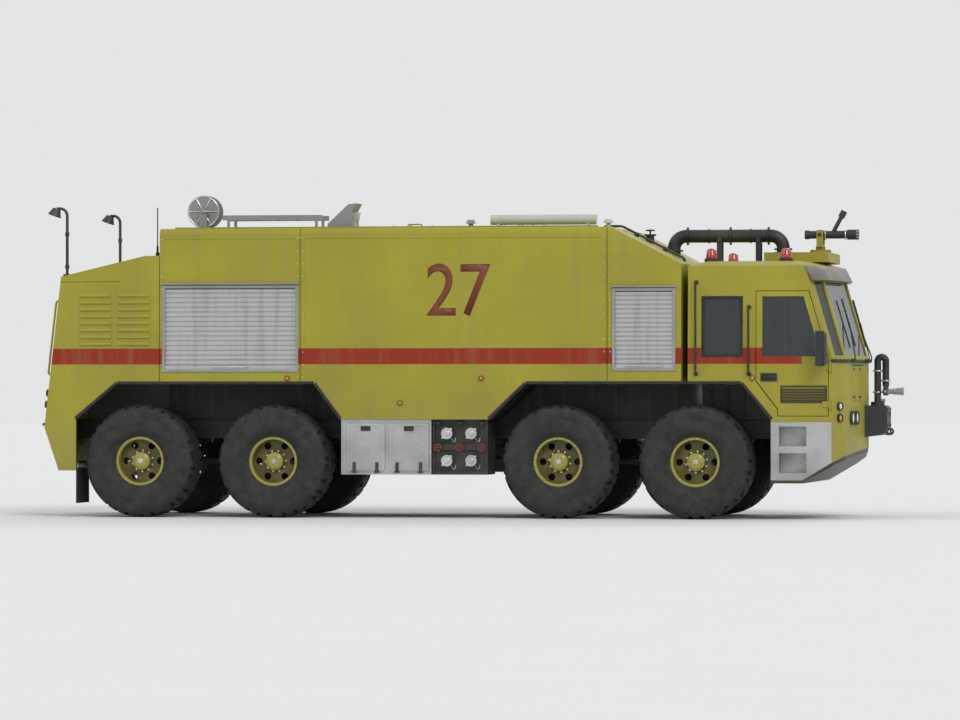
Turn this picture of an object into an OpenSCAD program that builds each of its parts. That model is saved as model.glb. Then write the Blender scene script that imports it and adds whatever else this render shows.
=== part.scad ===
// Airport fire truck with eight driven wheels, rear engine, front cab, roof and bumper turrets.
// Millimetres. +X is forward, +Y is the truck's left, +Z is up, and the ground is z = 0.
// Lengths along the truck are measured from the first axle and moved to the middle of the truck.

/* [Wheels] */
// Outer diameter of a tyre
tyre_d = 1375; // [1300:5:1400]
// Width of a tyre over its sidewalls
tyre_w = 600; // [520:5:620]
// Diameter of a rim over its flanges
rim_d = 600; // [560:5:640]
// Width of a rim over its flanges
rim_w = 456; // [400:4:470]
// Number of hand holes in a rim
hand_holes = 6; // [5:1:8]
// Radius of a hand hole
hand_r = 44; // [30:1:46]
// Radius of the spindle that a hub turns on
spindle_r = 60; // [50:1:70]

/* [Axles] */
// Distance between the two axles of a pair
tandem_gap = 1670; // [1620:5:1800]
// Distance from the first axle to the third
bogie_gap = 5190; // [5000:10:5600]
// Distance between the middles of the left and right tyres
track = 2400; // [2340:5:2420]
// Distance from a tyre's middle plane in to its kingpin
kingpin_in = 150; // [130:5:170]
// Radius of an axle tube
axle_r = 105; // [90:1:115]

/* [Frame] */
// Distance between the outer faces of the frame rails
rail_gap = 980; // [900:10:1000]
// Height of a frame rail
rail_h = 240; // [200:5:260]
// Width of a frame rail's flanges
rail_w = 90; // [70:5:110]
// Thickness of a frame rail's metal
rail_t = 14; // [10:1:20]

/* [Body] */
// Width of the body and cab
body_w = 3000; // [2900:10:3060]
// Height of the tank body's roof
roof_z = 3530; // [3400:10:3600]
// Height of the top of the wheel arches
arch_z = 1630; // [1580:5:1700]
// Height of the body's lower edge between the arches
skirt_z = 1200; // [1150:5:1250]
// Length of the engine house at its base
house_len = 1450; // [1400:10:1600]
// Length of the rear locker section
locker_len = 1760; // [1700:10:1900]
// Length of the pump section behind the cab
pump_len = 900; // [860:10:1000]
// Width of the joint between two body sections
seam = 8; // [4:1:12]
// Radius along the upper edges of the body
edge_r = 70; // [40:5:100]
// Height of a roll-up shutter
shutter_h = 990; // [900:10:1020]
// Number of slats in a shutter
slats = 16; // [12:1:20]
// Depth that a shutter is set in
shutter_in = 45; // [35:1:60]

/* [Engine] */
// Length of the engine block
engine_len = 1050; // [900:10:1100]
// Width of the engine block
engine_w = 900; // [800:10:960]
// Height of the engine block above the frame
engine_h = 1050; // [900:10:1200]

/* [Cab] */
// Height of the cab roof's edge
cab_roof_z = 3050; // [2980:10:3100]
// Height of the lower edge of the cab windows
belt_z = 1930; // [1880:5:1960]
// Thickness of the cab wall and doors
wall = 50; // [40:1:60]
// Thickness of the glass
glass_t = 10; // [6:1:12]
// How far the windscreen leans back between belt and roof
rake = 320; // [260:10:360]
// Gap round a door
door_gap = 8; // [6:1:12]
// Width of the window behind the seats
rear_window_w = 1000; // [800:20:1200]
// Height of the window behind the seats
rear_window_h = 500; // [400:10:560]
// Distance between the middles of the seats
seat_gap = 620; // [580:5:680]
// Width of the roof platform that carries the turret
platform_w = 1300; // [1100:10:1400]
// Height of the roof platform
platform_h = 120; // [80:5:150]

/* [Turrets] */
// Radius of the water pipe over the cab
pipe_r = 80; // [60:2:95]
// Height of the pipe's upper run
pipe_z = 3450; // [3430:5:3500]
// Length of the roof turret's barrel ahead of its pivot
roof_barrel = 470; // [400:10:520]
// Length of the bumper turret's barrel ahead of its pivot
bumper_barrel = 220; // [200:5:260]

/* [Roof and rear] */
// Height of the rear light masts above the ground
mast_z = 3850; // [3700:10:3900]
// Radius of a light mast's tube
mast_r = 18; // [14:1:24]
// Radius of the roof hose reel
reel_r = 200; // [160:5:210]
// Length of the roof ladder rails
ladder_len = 1250; // [1100:10:1320]
// Height of a mud flap
flap_h = 520; // [460:10:540]
// Height of the rear step's tread
step_z = 1150; // [1140:5:1200]
// Thickness of the rear step
step_t = 30; // [20:2:40]

/* [Hidden] */
NODES = [
  "frame_rails", "axles", "engine_block",
  "knuckle_1_left", "knuckle_1_right", "knuckle_2_left", "knuckle_2_right",
  "tyre_1_left", "tyre_1_right", "tyre_2_left", "tyre_2_right",
  "tyre_3_left", "tyre_3_right", "tyre_4_left", "tyre_4_right",
  "rim_1_left", "rim_1_right", "rim_2_left", "rim_2_right",
  "rim_3_left", "rim_3_right", "rim_4_left", "rim_4_right",
  "engine_house", "engine_grille", "locker_body", "tank_body", "pump_body",
  "shutters", "side_boxes", "pump_panels", "mud_flaps",
  "cab_shell", "cab_glass", "seats", "dashboard",
  "door_left", "door_right", "door_glass_left", "door_glass_right", "mirror_left", "mirror_right",
  "nose_bracket", "skid_plate", "roof_pipe", "roof_turret_base", "roof_turret_barrel",
  "bumper_turret_base", "bumper_turret_barrel",
  "light_masts", "roof_gear", "tail_gear"
];
node = "all";
$fn = 40;
eps = 1;
clear = 0.3;
run_fit = 0.05;
kingpin_r = 30;
yellow = [0.62, 0.60, 0.10];
silver = [0.70, 0.70, 0.72];
black = [0.08, 0.08, 0.09];

hw = body_w / 2;
tyre_r = tyre_d / 2;
hub_z = tyre_r;
rim_r = rim_d / 2;
axle_x = [0, -tandem_gap, -bogie_gap, -bogie_gap - tandem_gap];
wheel_y = track / 2;
kingpin_y = wheel_y - kingpin_in;
rail_y = rail_gap / 2;
rail_top = skirt_z;
rail_low = rail_top - rail_h;

// Wheel arches, from the tyres that they clear
front_arch_end = tyre_r + 235;
front_arch_start = axle_x[1] - tyre_r - 145;
rear_arch_end = axle_x[2] + tyre_r + 150;
rear_arch_start = axle_x[3] - tyre_r - 102;
arch_in = 560;
arch_drop = arch_z - skirt_z;

// Body sections from back to front
tank_front = -160;
pump_rear = tank_front - pump_len;
house_front = axle_x[3] + 260;
locker_front = house_front + locker_len;
house_rear = house_front - house_len;
house_top_front = 3200;
house_top_rear = 2950;
house_lean = 210;
house_low = 570;
house_wall = 40;
slope_low_z = 3080;
spine_w = 2 * arch_in - 20;

// Cab plan: side corner, quarter-pane corner and middle of the nose
cab_rear = -80;
corner_x = 1660;
quarter_x = 1800;
quarter_y = hw - 300;
nose_x = 1950;
cab_low = 470;
undercut_x = 1300;
undercut_slope = 0.596;
cab_floor_z = arch_z + wall;
foot_z = skirt_z + 20;
crown = 60;
roof_in = 40;
door_rear = 740;
door_front = 1620;
door_low = 1240;
hinge_x = door_front + 14;
hinge_y = hw + 18;
hinge_r = 8;
hinges = [1330, 1780];
window_low = belt_z + 30;
window_top = 2710;
rear_window_z = belt_z + 120;

bumper_low = 980;
bumper_top = 1370;
bracket_front = 2200;
bracket_w = 460;
bumper_turret_x = 2060;
bumper_pivot_z = bumper_top + 170;
bumper_loop_z = 1960;
roof_turret_x = 1360;
platform_z = cab_roof_z + crown;
roof_deck = platform_z + platform_h;
roof_pivot_z = roof_deck + 230;
pipe_front_x = 900;
pipe_rear_x = -450;

rear_reach = -house_rear + 90;
front_reach = bumper_turret_x + 100 + bumper_barrel;
front_axle_x = (rear_reach - front_reach) / 2;

function undercut_z(x) = cab_low + (x - undercut_x) * undercut_slope;
function side(s) = s == "left" ? 1 : -1;
function arc(cx, cy, r, a0, a1, n = 6) =
  [for (i = [0:n]) let (a = a0 + (a1 - a0) * i / n) [cx + r * cos(a), cy + r * sin(a)]];
function mirrored(pts) = concat(pts, [for (i = [len(pts) - 1:-1:0]) [-pts[i][0], pts[i][1]]]);

// A side profile, drawn as [x, z] points, made y0 to y1 wide
module from_side(pts, y0, y1)
  translate([0, y1, 0]) rotate([90, 0, 0]) linear_extrude(y1 - y0) polygon(pts);
// A cross-section, drawn as [y, z] points, made x0 to x1 long
module from_front(pts, x0, x1)
  translate([x0, 0, 0]) rotate([90, 0, 90]) linear_extrude(x1 - x0) polygon(pts);
module tube_y(r, y0, y1)
  translate([0, y1, 0]) rotate([90, 0, 0]) cylinder(r = r, h = y1 - y0);
module tube_x(r, x0, x1)
  translate([x0, 0, 0]) rotate([0, 90, 0]) cylinder(r = r, h = x1 - x0);
module both_sides() {
  children();
  mirror([0, 1, 0]) children();
}
// A quarter bend in the XZ plane about the origin, from +Z round to +X
module bend(r, pipe)
  rotate([90, 0, 0]) rotate_extrude(angle = 90) translate([r, 0]) circle(r = pipe);

// Rim: barrel with two flanges, dished disc, hub with its cover; the axis is Z and the outer side is up
module rim_solid() {
  half = rim_w / 2;
  barrel = rim_r - 17;
  skin = 15;
  disc = 30;
  hub = 130;
  difference() {
    rotate_extrude($fn = 64) polygon([
      [spindle_r + run_fit, disc - 20], [hub, disc - 20], [hub, disc], [barrel - skin, disc],
      [barrel - skin, -half], [rim_r, -half], [rim_r, 15 - half], [barrel, 15 - half],
      [barrel, half - 15], [rim_r, half - 15], [rim_r, half], [barrel - skin, half],
      [barrel - skin, disc + 20], [hub + 10, disc + 30], [hub - 12, disc + 42], [hub - 24, disc + 145],
      [spindle_r + 12, disc + 165], [0, disc + 165], [0, disc + 120], [spindle_r + run_fit, disc + 120]
    ]);
    for (i = [0:hand_holes - 1]) rotate(i * 360 / hand_holes)
      translate([(hub + barrel) / 2 + 6, 0, disc - 10]) cylinder(r = hand_r, h = 60);
  }
}

// Tyre: rounded shoulders and bulging sidewalls; the columns are radius and distance from the middle
module tyre_solid() {
  b = tyre_w / 2;
  bead = rim_w / 2 - 15 - clear;
  seat = rim_r - 17 + clear;
  half = [
    [seat, bead], [rim_r + clear, bead], [rim_r + clear, bead + 16], [rim_r + 40, b - 28],
    [rim_r + 120, b - 2], [rim_r + 190, b], [tyre_r - 95, b - 6], [tyre_r - 40, b - 26],
    [tyre_r - 12, b - 66], [tyre_r, b - 120]
  ];
  rotate_extrude($fn = 64)
    polygon(concat(half, [for (i = [len(half) - 1:-1:0]) [half[i][0], -half[i][1]]]));
}

module at_wheel(a, s)
  translate([axle_x[a - 1], side(s) * wheel_y, hub_z]) rotate([-90 * side(s), 0, 0]) children();
module tyre(a, s) color(black) at_wheel(a, s) tyre_solid();
module rim(a, s) color(yellow) at_wheel(a, s) rim_solid();

spindle_end = kingpin_in + 30 + 115;
fork_gap = 105;

// Steering knuckle: upright barrel on the kingpin with the spindle
module knuckle(a, s) color(black)
  translate([axle_x[a - 1], side(s) * kingpin_y, hub_z]) mirror([0, side(s) > 0 ? 0 : 1, 0])
    difference() {
      union() {
        translate([0, 0, clear - fork_gap]) cylinder(r = 85, h = 2 * (fork_gap - clear));
        tube_y(spindle_r, 0, spindle_end);
        translate([-60, 0, clear - fork_gap]) cube([120, 78, 2 * (fork_gap - clear)]);
        // steering arm, kept inside the rim's barrel
        translate([-200, -55, -30]) cube([180, 35, 40]);
      }
      translate([0, 0, -fork_gap]) cylinder(r = kingpin_r + run_fit, h = 2 * fork_gap);
    }

// Axle tube, differential housing and the spring packs that carry the rails
module axle(i) translate([axle_x[i], 0, hub_z]) {
  steered = i < 2;
  tube_end = steered ? kingpin_y - 128 : wheel_y + 10;
  tube_y(axle_r, -tube_end, tube_end);
  tube_y(axle_r + 60, -200, 200);
  sphere(r = 230);
  tube_x(85, -320, 320);
  if (!steered) both_sides() tube_y(spindle_r, tube_end - eps, wheel_y + 30 + 115);
  if (steered) both_sides() translate([0, kingpin_y, 0]) {
    // fork with an arm above and one below the knuckle
    for (z = [-1, 1]) translate([0, 0, z * (fork_gap + 20) - 20]) cylinder(r = 80, h = 40);
    for (z = [-1, 1]) translate([-70, -150, z * (fork_gap + 20) - 20]) cube([140, 150, 40]);
    translate([-70, -150, -fork_gap - 40]) cube([140, 44, 2 * fork_gap + 80]);
    translate([0, 0, -fork_gap - 10]) cylinder(r = kingpin_r, h = 2 * fork_gap + 20);
  }
  both_sides() translate([0, rail_y - rail_w / 2, 0]) {
    translate([-60, -50, 0]) cube([120, 100, 150]);
    for (k = [0:3]) translate([-480 + 90 * k, -38, 150 + 22 * (3 - k)]) cube([960 - 180 * k, 76, 22]);
    for (x = [-1, 1]) translate([x * 450 - 30, -38, 238]) cube([60, 76, rail_low - hub_z - 238]);
  }
}
module axles() color(black) for (i = [0:3]) axle(i);

// Frame: two channel rails, crossmembers and the posts that carry the cab floor
rail_rear = house_rear + house_wall + 120;
rail_front = front_arch_end;
module channel() from_front([
    [rail_y, rail_low], [rail_y, rail_top], [rail_y - rail_w, rail_top], [rail_y - rail_w, rail_top - rail_t],
    [rail_y - rail_t, rail_top - rail_t], [rail_y - rail_t, rail_low + rail_t],
    [rail_y - rail_w, rail_low + rail_t], [rail_y - rail_w, rail_low]
  ], rail_rear, rail_front);
module frame_rails() color(black) {
  inner = rail_y - rail_t;
  both_sides() channel();
  for (x = [rail_rear + 60, axle_x[2] + 835, -3200, axle_x[1] - 800, -835, rail_front - 200])
    translate([x, -inner, rail_low + 50]) cube([80, 2 * inner, rail_h - 110]);
  both_sides() for (x = [20, 420]) translate([x, rail_y - rail_w, rail_top])
    cube([90, rail_w, arch_z - rail_top]);
}

// Engine, one plain block on the rails
module engine_block() color(black)
  translate([house_rear + 280, -engine_w / 2, rail_top]) cube([engine_len, engine_w, engine_h]);

// Body sections
function body_section() = mirrored(concat(
  [[0, skirt_z], [hw, skirt_z]], arc(hw - edge_r, roof_z - edge_r, edge_r, 0, 90)));
module arch_cuts() both_sides() {
  from_side([
      [front_arch_start, skirt_z - eps], [front_arch_start, skirt_z], [front_arch_start + 450, arch_z],
      [front_arch_end - 360, arch_z], [front_arch_end, skirt_z], [front_arch_end, skirt_z - eps]
    ], arch_in, hw + eps);
  from_side([
      [rear_arch_start, skirt_z - eps], [rear_arch_start, skirt_z], [rear_arch_start + 520, arch_z],
      [rear_arch_end - 320, arch_z], [rear_arch_end, skirt_z], [rear_arch_end, skirt_z - eps]
    ], arch_in, hw + eps);
}
// [section, x0, x1, z0] of each shutter
rear_shutter = [house_front + 70, locker_front - 60, 1810];
front_shutter = [pump_rear + 95, tank_front - 105, 1820];
front_shutter_h = shutter_h - 60;
module shutter_recess(s, h) both_sides()
  translate([s[0], hw - shutter_in, s[2]]) cube([s[1] - s[0], shutter_in + eps, h]);
module rib_lines(x0, x1) both_sides() for (z = [roof_z - 560])
  translate([x0, hw - 6, z]) cube([x1 - x0, 6 + eps, 8]);
module locker_body() color(yellow) difference() {
  from_front(body_section(), house_front + seam / 2, locker_front - seam / 2);
  arch_cuts();
  shutter_recess(rear_shutter, shutter_h);
}
module tank_body() color(yellow) difference() {
  from_front(body_section(), locker_front + seam / 2, pump_rear - seam / 2);
  arch_cuts();
  // filler hatch coaming on the roof
  for (x = [-3700, -2300]) translate([x, 0, roof_z - 12]) difference() {
    cylinder(r = 300, h = 20);
    translate([0, 0, -eps]) cylinder(r = 270, h = 24);
  }
}
module pump_slope() from_side([[pump_rear, skirt_z], [pump_rear, roof_z], [pump_rear + 30, roof_z],
  [tank_front, slope_low_z], [tank_front, skirt_z]], -hw, hw);
module pump_body() color(yellow) difference() {
  intersection() {
    from_front(body_section(), pump_rear + seam / 2, tank_front);
    pump_slope();
  }
  arch_cuts();
  shutter_recess(front_shutter, front_shutter_h);
}

// Roll-up shutters: interlocking slats as a ridged curtain, with a bottom bar
module curtain(x0, x1, z0, h) {
  n = slats;
  pitch = (h - 50) / n;
  depth = shutter_in - 10;
  face = concat([[0, 0], [depth, 0], [depth, 46]],
    [for (i = [0:n - 1]) each [[depth - 14, 50 + i * pitch], [depth - 4, 50 + (i + 0.25) * pitch],
      [depth - 4, 50 + (i + 0.75) * pitch], [depth - 14, 50 + (i + 1) * pitch - 1]]],
    [[0, h]]);
  translate([0, hw - shutter_in, z0]) from_front(face, x0, x1);
}
module shutters() color(silver) both_sides() {
  curtain(rear_shutter[0], rear_shutter[1], rear_shutter[2], shutter_h);
  curtain(front_shutter[0], front_shutter[1], front_shutter[2], front_shutter_h);
}

// Silver boxes below the skirt, and the control panels ahead of them
box_low = 530;
box_rear = rear_arch_end + 20;
box_front = -3220;
panel_front = front_arch_start - 30;
box_in = 900;
module side_boxes() color(silver) both_sides() {
  difference() {
    translate([box_rear, box_in, box_low]) cube([box_front - box_rear, hw - 20 - box_in, skirt_z - box_low]);
    // lid seams
    for (x = [box_rear + 20, (box_rear + box_front) / 2]) translate([x, hw - 26, box_low + 20])
      difference() {
        cube([(box_front - box_rear) / 2 - 20, 10, skirt_z - box_low - 50]);
        translate([6, -eps, 6]) cube([(box_front - box_rear) / 2 - 32, 12, skirt_z - box_low - 62]);
      }
  }
}
// Pump panel: housing with outlets, caps and gauges
module pump_panels() color(silver) both_sides() {
  w = panel_front - box_front - 10;
  difference() {
    translate([box_front + 10, box_in, box_low]) cube([w, hw - 60 - box_in, skirt_z - box_low]);
    for (z = [box_low + 40, box_low + 370]) translate([box_front + 40, hw - 90, z])
      cube([w - 60, 40, 260]);
  }
  for (i = [0, 1], k = [0, 1]) translate([box_front + 10 + w * (0.28 + 0.44 * i), 0, box_low + 170 + 330 * k]) {
    tube_y(62, hw - 90, hw - 40);
    tube_y(78, hw - 40, hw + 10);
  }
}

// Engine house: hollow, open below, with louvres behind
function house_profile(t) = [
  [house_front - seam / 2 - t, arch_z + (t > 0 ? -eps : 0)], [house_front - seam / 2 - t, house_top_front - t],
  [house_front - 180, house_top_front - t], [house_rear + house_lean + t, house_top_rear - t],
  [house_rear + t, 1100], [house_rear + 180 + t, house_low - (t > 0 ? eps : 0)],
  [rear_arch_start, house_low - (t > 0 ? eps : 0)],
  [rear_arch_start, skirt_z], [rear_arch_start + 520, arch_z + (t > 0 ? -eps : 0)]
];
grille_w = 1900;
grille_low = 1480;
grille_top = 2660;
function house_back(z) = house_rear + house_lean * (z - 1100) / (house_top_rear - 1100);
module engine_house() color(yellow) difference() {
  union() {
    difference() {
      from_side(house_profile(0), -hw, hw);
      from_side(house_profile(house_wall), -hw + house_wall, hw - house_wall);
      translate([house_rear - eps, -grille_w / 2, grille_low])
        cube([house_lean + 200, grille_w, grille_top - grille_low]);
    }
    // floor frame that seats the house on the rails
    both_sides() translate([rail_rear + 40, rail_y - rail_w, rail_top])
      cube([80, hw - rail_y + rail_w - house_wall + eps, 60]);
  }
  both_sides() translate([house_rear + 60, hw - 14, 2880]) cube([900, 20, 8]);
}
module engine_grille() color(black) {
  n = 13;
  step = (grille_top - grille_low) / n;
  for (i = [0:n - 1]) let (z = grille_low + (i + 0.5) * step)
    translate([house_back(z) + 22, 0, z]) rotate([0, 35, 0])
      cube([50, grille_w, 8], center = true);
  for (y = [-1, 0, 1]) from_side([
      [house_back(grille_low) + 18, grille_low], [house_back(grille_top) + 18, grille_top],
      [house_back(grille_top) + 34, grille_top], [house_back(grille_low) + 34, grille_low]
    ], y * (grille_w / 2 - 15) - 15, y * (grille_w / 2 - 15) + 15);
}

// Mud flaps behind the last wheels, bolted to the skirt of the engine house
module mud_flaps() color(black) both_sides()
  translate([rear_arch_start + clear, wheel_y - tyre_w / 2, house_low + 120 - flap_h])
    cube([14, hw - wheel_y + tyre_w / 2, flap_h]);

// Tail gear: rear step with its brackets, grab rails and tail lamps
function tail_x(z) = house_back(z) - clear;
module tail_gear() color(black) {
  lamp_low = 1320;
  lamp_top = lamp_low + 260;
  for (y = [-1, 1]) from_side([
      [tail_x(lamp_low) - 30, lamp_low], [tail_x(lamp_low), lamp_low],
      [tail_x(lamp_top), lamp_top], [tail_x(lamp_top) - 30, lamp_top]
    ], y * (hw - 250) - 90, y * (hw - 250) + 90);
  from_side([[-rear_reach, step_z - step_t], [-rear_reach, step_z], [tail_x(step_z), step_z],
    [tail_x(step_z - step_t), step_z - step_t]], 250 - hw, hw - 250);
}

// Cab plan at a height share k from belt to roof, set in by t
function cab_plan(t, k = 0) = let (dx = -rake * k, dy = -roof_in * k)
  concat([[cab_rear + t, -(hw + dy - t)], [corner_x + dx - 0.8 * t, -(hw + dy - t)],
    [quarter_x + dx - 1.05 * t, -(quarter_y + dy - 0.6 * t)], [nose_x + dx - t, 0],
    [quarter_x + dx - 1.05 * t, quarter_y + dy - 0.6 * t], [corner_x + dx - 0.8 * t, hw + dy - t],
    [cab_rear + t, hw + dy - t]]);
module cab_upper(t) hull() {
  translate([0, 0, belt_z]) linear_extrude(eps) polygon(cab_plan(t));
  translate([0, 0, cab_roof_z - t - eps]) linear_extrude(eps) polygon(cab_plan(t, 1));
}
module cab_lower(t) intersection() {
  translate([0, 0, cab_low - 10]) linear_extrude(belt_z - cab_low + 10 + (t > 0 ? eps : 0)) polygon(cab_plan(t));
  from_side(t > 0 ? [
      [cab_rear + t, cab_floor_z], [front_arch_end - 360 + 0.4 * t, cab_floor_z], [front_arch_end + t, foot_z + 60],
      [front_arch_end + t, foot_z], [nose_x - t, foot_z], [nose_x - t, belt_z + 5], [cab_rear + t, belt_z + 5]
    ] : [
      [cab_rear, arch_z], [front_arch_end - 360, arch_z], [front_arch_end, skirt_z],
      [front_arch_end, cab_low], [undercut_x, cab_low],
      [bracket_front, undercut_z(bracket_front)], [bracket_front, belt_z + eps],
      [cab_rear, belt_z + eps]
    ], -hw - eps, hw + eps);
}
module cab_space() {
  cab_upper(wall);
  cab_lower(wall);
}
module door_prism(g) both_sides() from_side([
    [door_rear + g, window_top + 40 - g], [door_rear + g, arch_z + 30 + g], [front_arch_end + 80 + g, door_low + 80 + g],
    [front_arch_end + 80 + g, door_low + g], [door_front - g, door_low + g], [door_front - g, belt_z],
    [door_front - g - rake * (window_top + 40 - belt_z) / (cab_roof_z - belt_z), window_top + 40 - g]
  ], hw - wall - 60, hw + 20);
module door_window(g) both_sides() from_side([
    [door_rear + 80 + g, window_low + g], [door_front - 90 - g, window_low + g],
    [door_front - 90 - g - rake * (window_top - window_low) / (cab_roof_z - belt_z), window_top - 30 - g],
    [door_rear + 80 + g, window_top - 30 - g]
  ], hw - wall - 60, hw + 20);
module side_window() both_sides() from_side(concat(
    arc(130, window_low + 40, 40, 180, 270, 3), arc(540, window_low + 40, 40, 270, 360, 3),
    arc(540, window_top - 70, 40, 0, 90, 3), arc(130, window_top - 70, 40, 90, 180, 3)
  ), hw - wall - 60, hw + 20);
front_top = cab_roof_z - 190;
module front_windows() both_sides() {
  from_front([[35, window_low + 10], [quarter_y - 45, window_low + 10],
    [quarter_y - 75, front_top], [35, front_top]], 1200, 2100);
  from_front([[quarter_y + 15, window_low + 10], [hw - 90, window_low + 10],
    [hw - 110, front_top], [quarter_y - 15, front_top]], 1200, 2100);
}
// Boarding steps cut into the lower nose
module step_pockets() both_sides() for (z = [560, 880])
  translate([front_arch_end + 100, hw - 190, z]) cube([330, 200, 240]);
module cab_body() difference() {
  union() {
    cab_lower(0);
    cab_upper(0);
    // crowned roof and turret platform
    hull() {
      translate([0, 0, cab_roof_z - eps]) linear_extrude(eps) polygon(cab_plan(0, 1));
      translate([0, 0, cab_roof_z + crown - eps]) linear_extrude(eps) polygon(cab_plan(220, 1));
    }
    translate([roof_turret_x - 620, -platform_w / 2, platform_z - eps])
      cube([790, platform_w, platform_h + eps]);
  }
  cab_space();
  door_prism(0);
  side_window();
  front_windows();
  step_pockets();
  // opening in the rear wall, behind the seats
  translate([cab_rear - eps, -rear_window_w / 2, rear_window_z])
    cube([wall + 2 * eps + 10, rear_window_w, rear_window_h]);
}
// Hinge brackets on the door pillar, each with a pin between two lugs
module hinge_lugs() both_sides() for (z = hinges) translate([hinge_x, hinge_y, z]) {
  cylinder(r = hinge_r, h = 110);
  for (k = [0, 90]) translate([0, 0, k]) {
    cylinder(r = 14, h = 20);
    translate([0, -18, 0]) cube([24, 22, 20]);
  }
}
module hinge_leaf(s) mirror([0, side(s) > 0 ? 0 : 1, 0]) for (z = hinges) translate([hinge_x, hinge_y, z]) {
  difference() {
    union() {
      translate([0, 0, 20 + clear]) cylinder(r = 14, h = 70 - 2 * clear);
      translate([-90, -15, 20 + clear]) cube([90, 10, 70 - 2 * clear]);
      translate([-90, -18, 20 + clear]) cube([60, 12, 70 - 2 * clear]);
    }
    cylinder(r = hinge_r + run_fit, h = 110);
  }
}
module cab_shell() color(yellow) {
  cab_body();
  hinge_lugs();
}
module glass_layer() difference() {
  cab_upper(14);
  cab_upper(14 + glass_t);
}
module cab_glass() color("skyblue", 0.5) {
  intersection() {
    glass_layer();
    union() {
      side_window();
      front_windows();
    }
  }
  translate([cab_rear + 14, -rear_window_w / 2, rear_window_z]) cube([glass_t, rear_window_w, rear_window_h]);
}

// The space on one side of the cab's middle plane
module cab_half(s)
  translate([cab_rear, side(s) > 0 ? 0 : -2 * hw, 0]) cube([nose_x - cab_rear, 2 * hw, roof_z]);
module door(s) color(yellow) {
  door_skin(s);
  hinge_leaf(s);
}
module door_skin(s) intersection() {
  difference() {
    union() {
      cab_lower(0);
      cab_upper(0);
    }
    cab_space();
    door_window(0);
    // vent recess below the window
    both_sides() translate([1050, hw - 14, 1410]) cube([540, 20, 190]);
  }
  door_prism(door_gap);
  cab_half(s);
}
module door_glass(s) color("skyblue", 0.5) intersection() {
  glass_layer();
  door_window(0);
  cab_half(s);
}
// Mirror: head on a bracket from the door below its window
module door_mirror(s) color(black) mirror([0, side(s) > 0 ? 0 : 1, 0]) {
  translate([1500, hw, 1870]) cube([60, 20, 60]);
  translate([1515, hw + 19, 1885]) cube([30, 120, 30]);
  difference() {
    translate([1490, hw + 100, 1840]) cube([90, 190, 420]);
    translate([1484, hw + 112, 1852]) cube([20, 166, 396]);
  }
}

// Seats, dashboard and steering wheel
module seat(x, y, z) translate([x, y, z]) {
  translate([-200, -220, 0]) cube([400, 440, 300]);
  translate([-240, -250, 300]) cube([500, 500, 130]);
  translate([-330, -240, 300]) rotate([0, -8, 0]) cube([110, 480, 720]);
}
module seats() color(black) for (y = [-seat_gap, 0, seat_gap]) seat(560, y, cab_floor_z);
module dashboard() color(black) {
  dash_rear = nose_x - 550;
  dash_front = nose_x - 310;
  difference() {
    from_side([[dash_rear, foot_z], [dash_rear, belt_z - 280], [dash_rear + 80, belt_z - 30],
      [dash_front, belt_z - 10], [dash_front, foot_z]], -hw + 260, hw - 260);
    from_side([[dash_rear - 10, foot_z - 1], [dash_rear - 10, belt_z - 430], [dash_front - 40, belt_z - 430],
      [dash_front - 40, foot_z - 1]], -hw + 320, hw - 320);
  }
  translate([dash_rear - 70, 0, belt_z + 30]) rotate([0, -62, 0]) {
    cylinder(r = 25, h = 60);
    difference() {
      cylinder(r = 225, h = 30);
      translate([0, 0, -eps]) cylinder(r = 195, h = 34);
    }
    for (a = [0, 120, 240]) rotate(a) translate([0, -14, 4]) cube([200, 28, 16]);
  }
  translate([dash_rear - 70, 0, belt_z + 30]) rotate([0, 118, 0]) cylinder(r = 30, h = 190);
}

// Bracket on the middle of the nose that carries the bumper turret
module nose_bracket() color(black) difference() {
  from_side([
      [nose_x - 60, bumper_low], [bracket_front - 60, bumper_low + 30], [bracket_front, bumper_low + 110],
      [bracket_front, bumper_top - 30], [bracket_front - 30, bumper_top], [nose_x - 60, bumper_top]
    ], -bracket_w / 2, bracket_w / 2);
  translate([0, 0, bumper_low - 1]) linear_extrude(bumper_top - bumper_low + 2) polygon(cab_plan(0));
  for (z = [bumper_low + 130, bumper_low + 250])
    translate([bracket_front - 12, -bracket_w / 2 + 50, z]) cube([20, bracket_w - 100, 60]);
}
// Guard plate under the cab and along the slope of the nose
module skid_plate() color(black) intersection() {
  translate([0, 0, cab_low - 100]) linear_extrude(700) polygon(cab_plan(6));
  from_side([
      [front_arch_end + 10, cab_low], [undercut_x, cab_low], [nose_x, undercut_z(nose_x)],
      [nose_x, undercut_z(nose_x) - 40], [undercut_x + 8, cab_low - 34], [front_arch_end + 10, cab_low - 34]
    ], -hw, hw);
}

// Water pipe from the pump section over the cab to the turret
module roof_pipe() color(black) {
  bend_r = 150;
  foot = slope_low_z + (roof_z - slope_low_z) * (tank_front - pipe_rear_x) / (pump_len - 30);
  rise = pipe_z - bend_r;
  difference() {
    union() {
      translate([pipe_rear_x, 0, foot - 80]) cylinder(r = pipe_r, h = rise - foot + 80);
      translate([pipe_rear_x + bend_r, 0, rise]) mirror([1, 0, 0]) bend(bend_r, pipe_r);
    }
    pump_slope();
  }
  translate([0, 0, pipe_z]) tube_x(pipe_r, pipe_rear_x + bend_r, pipe_front_x - bend_r);
  translate([pipe_front_x - bend_r, 0, rise]) bend(bend_r, pipe_r);
  translate([pipe_front_x, 0, roof_deck]) cylinder(r = pipe_r, h = rise - roof_deck);
  translate([pipe_front_x, 0, roof_deck]) cylinder(r = pipe_r + 35, h = 20);
}

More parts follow.
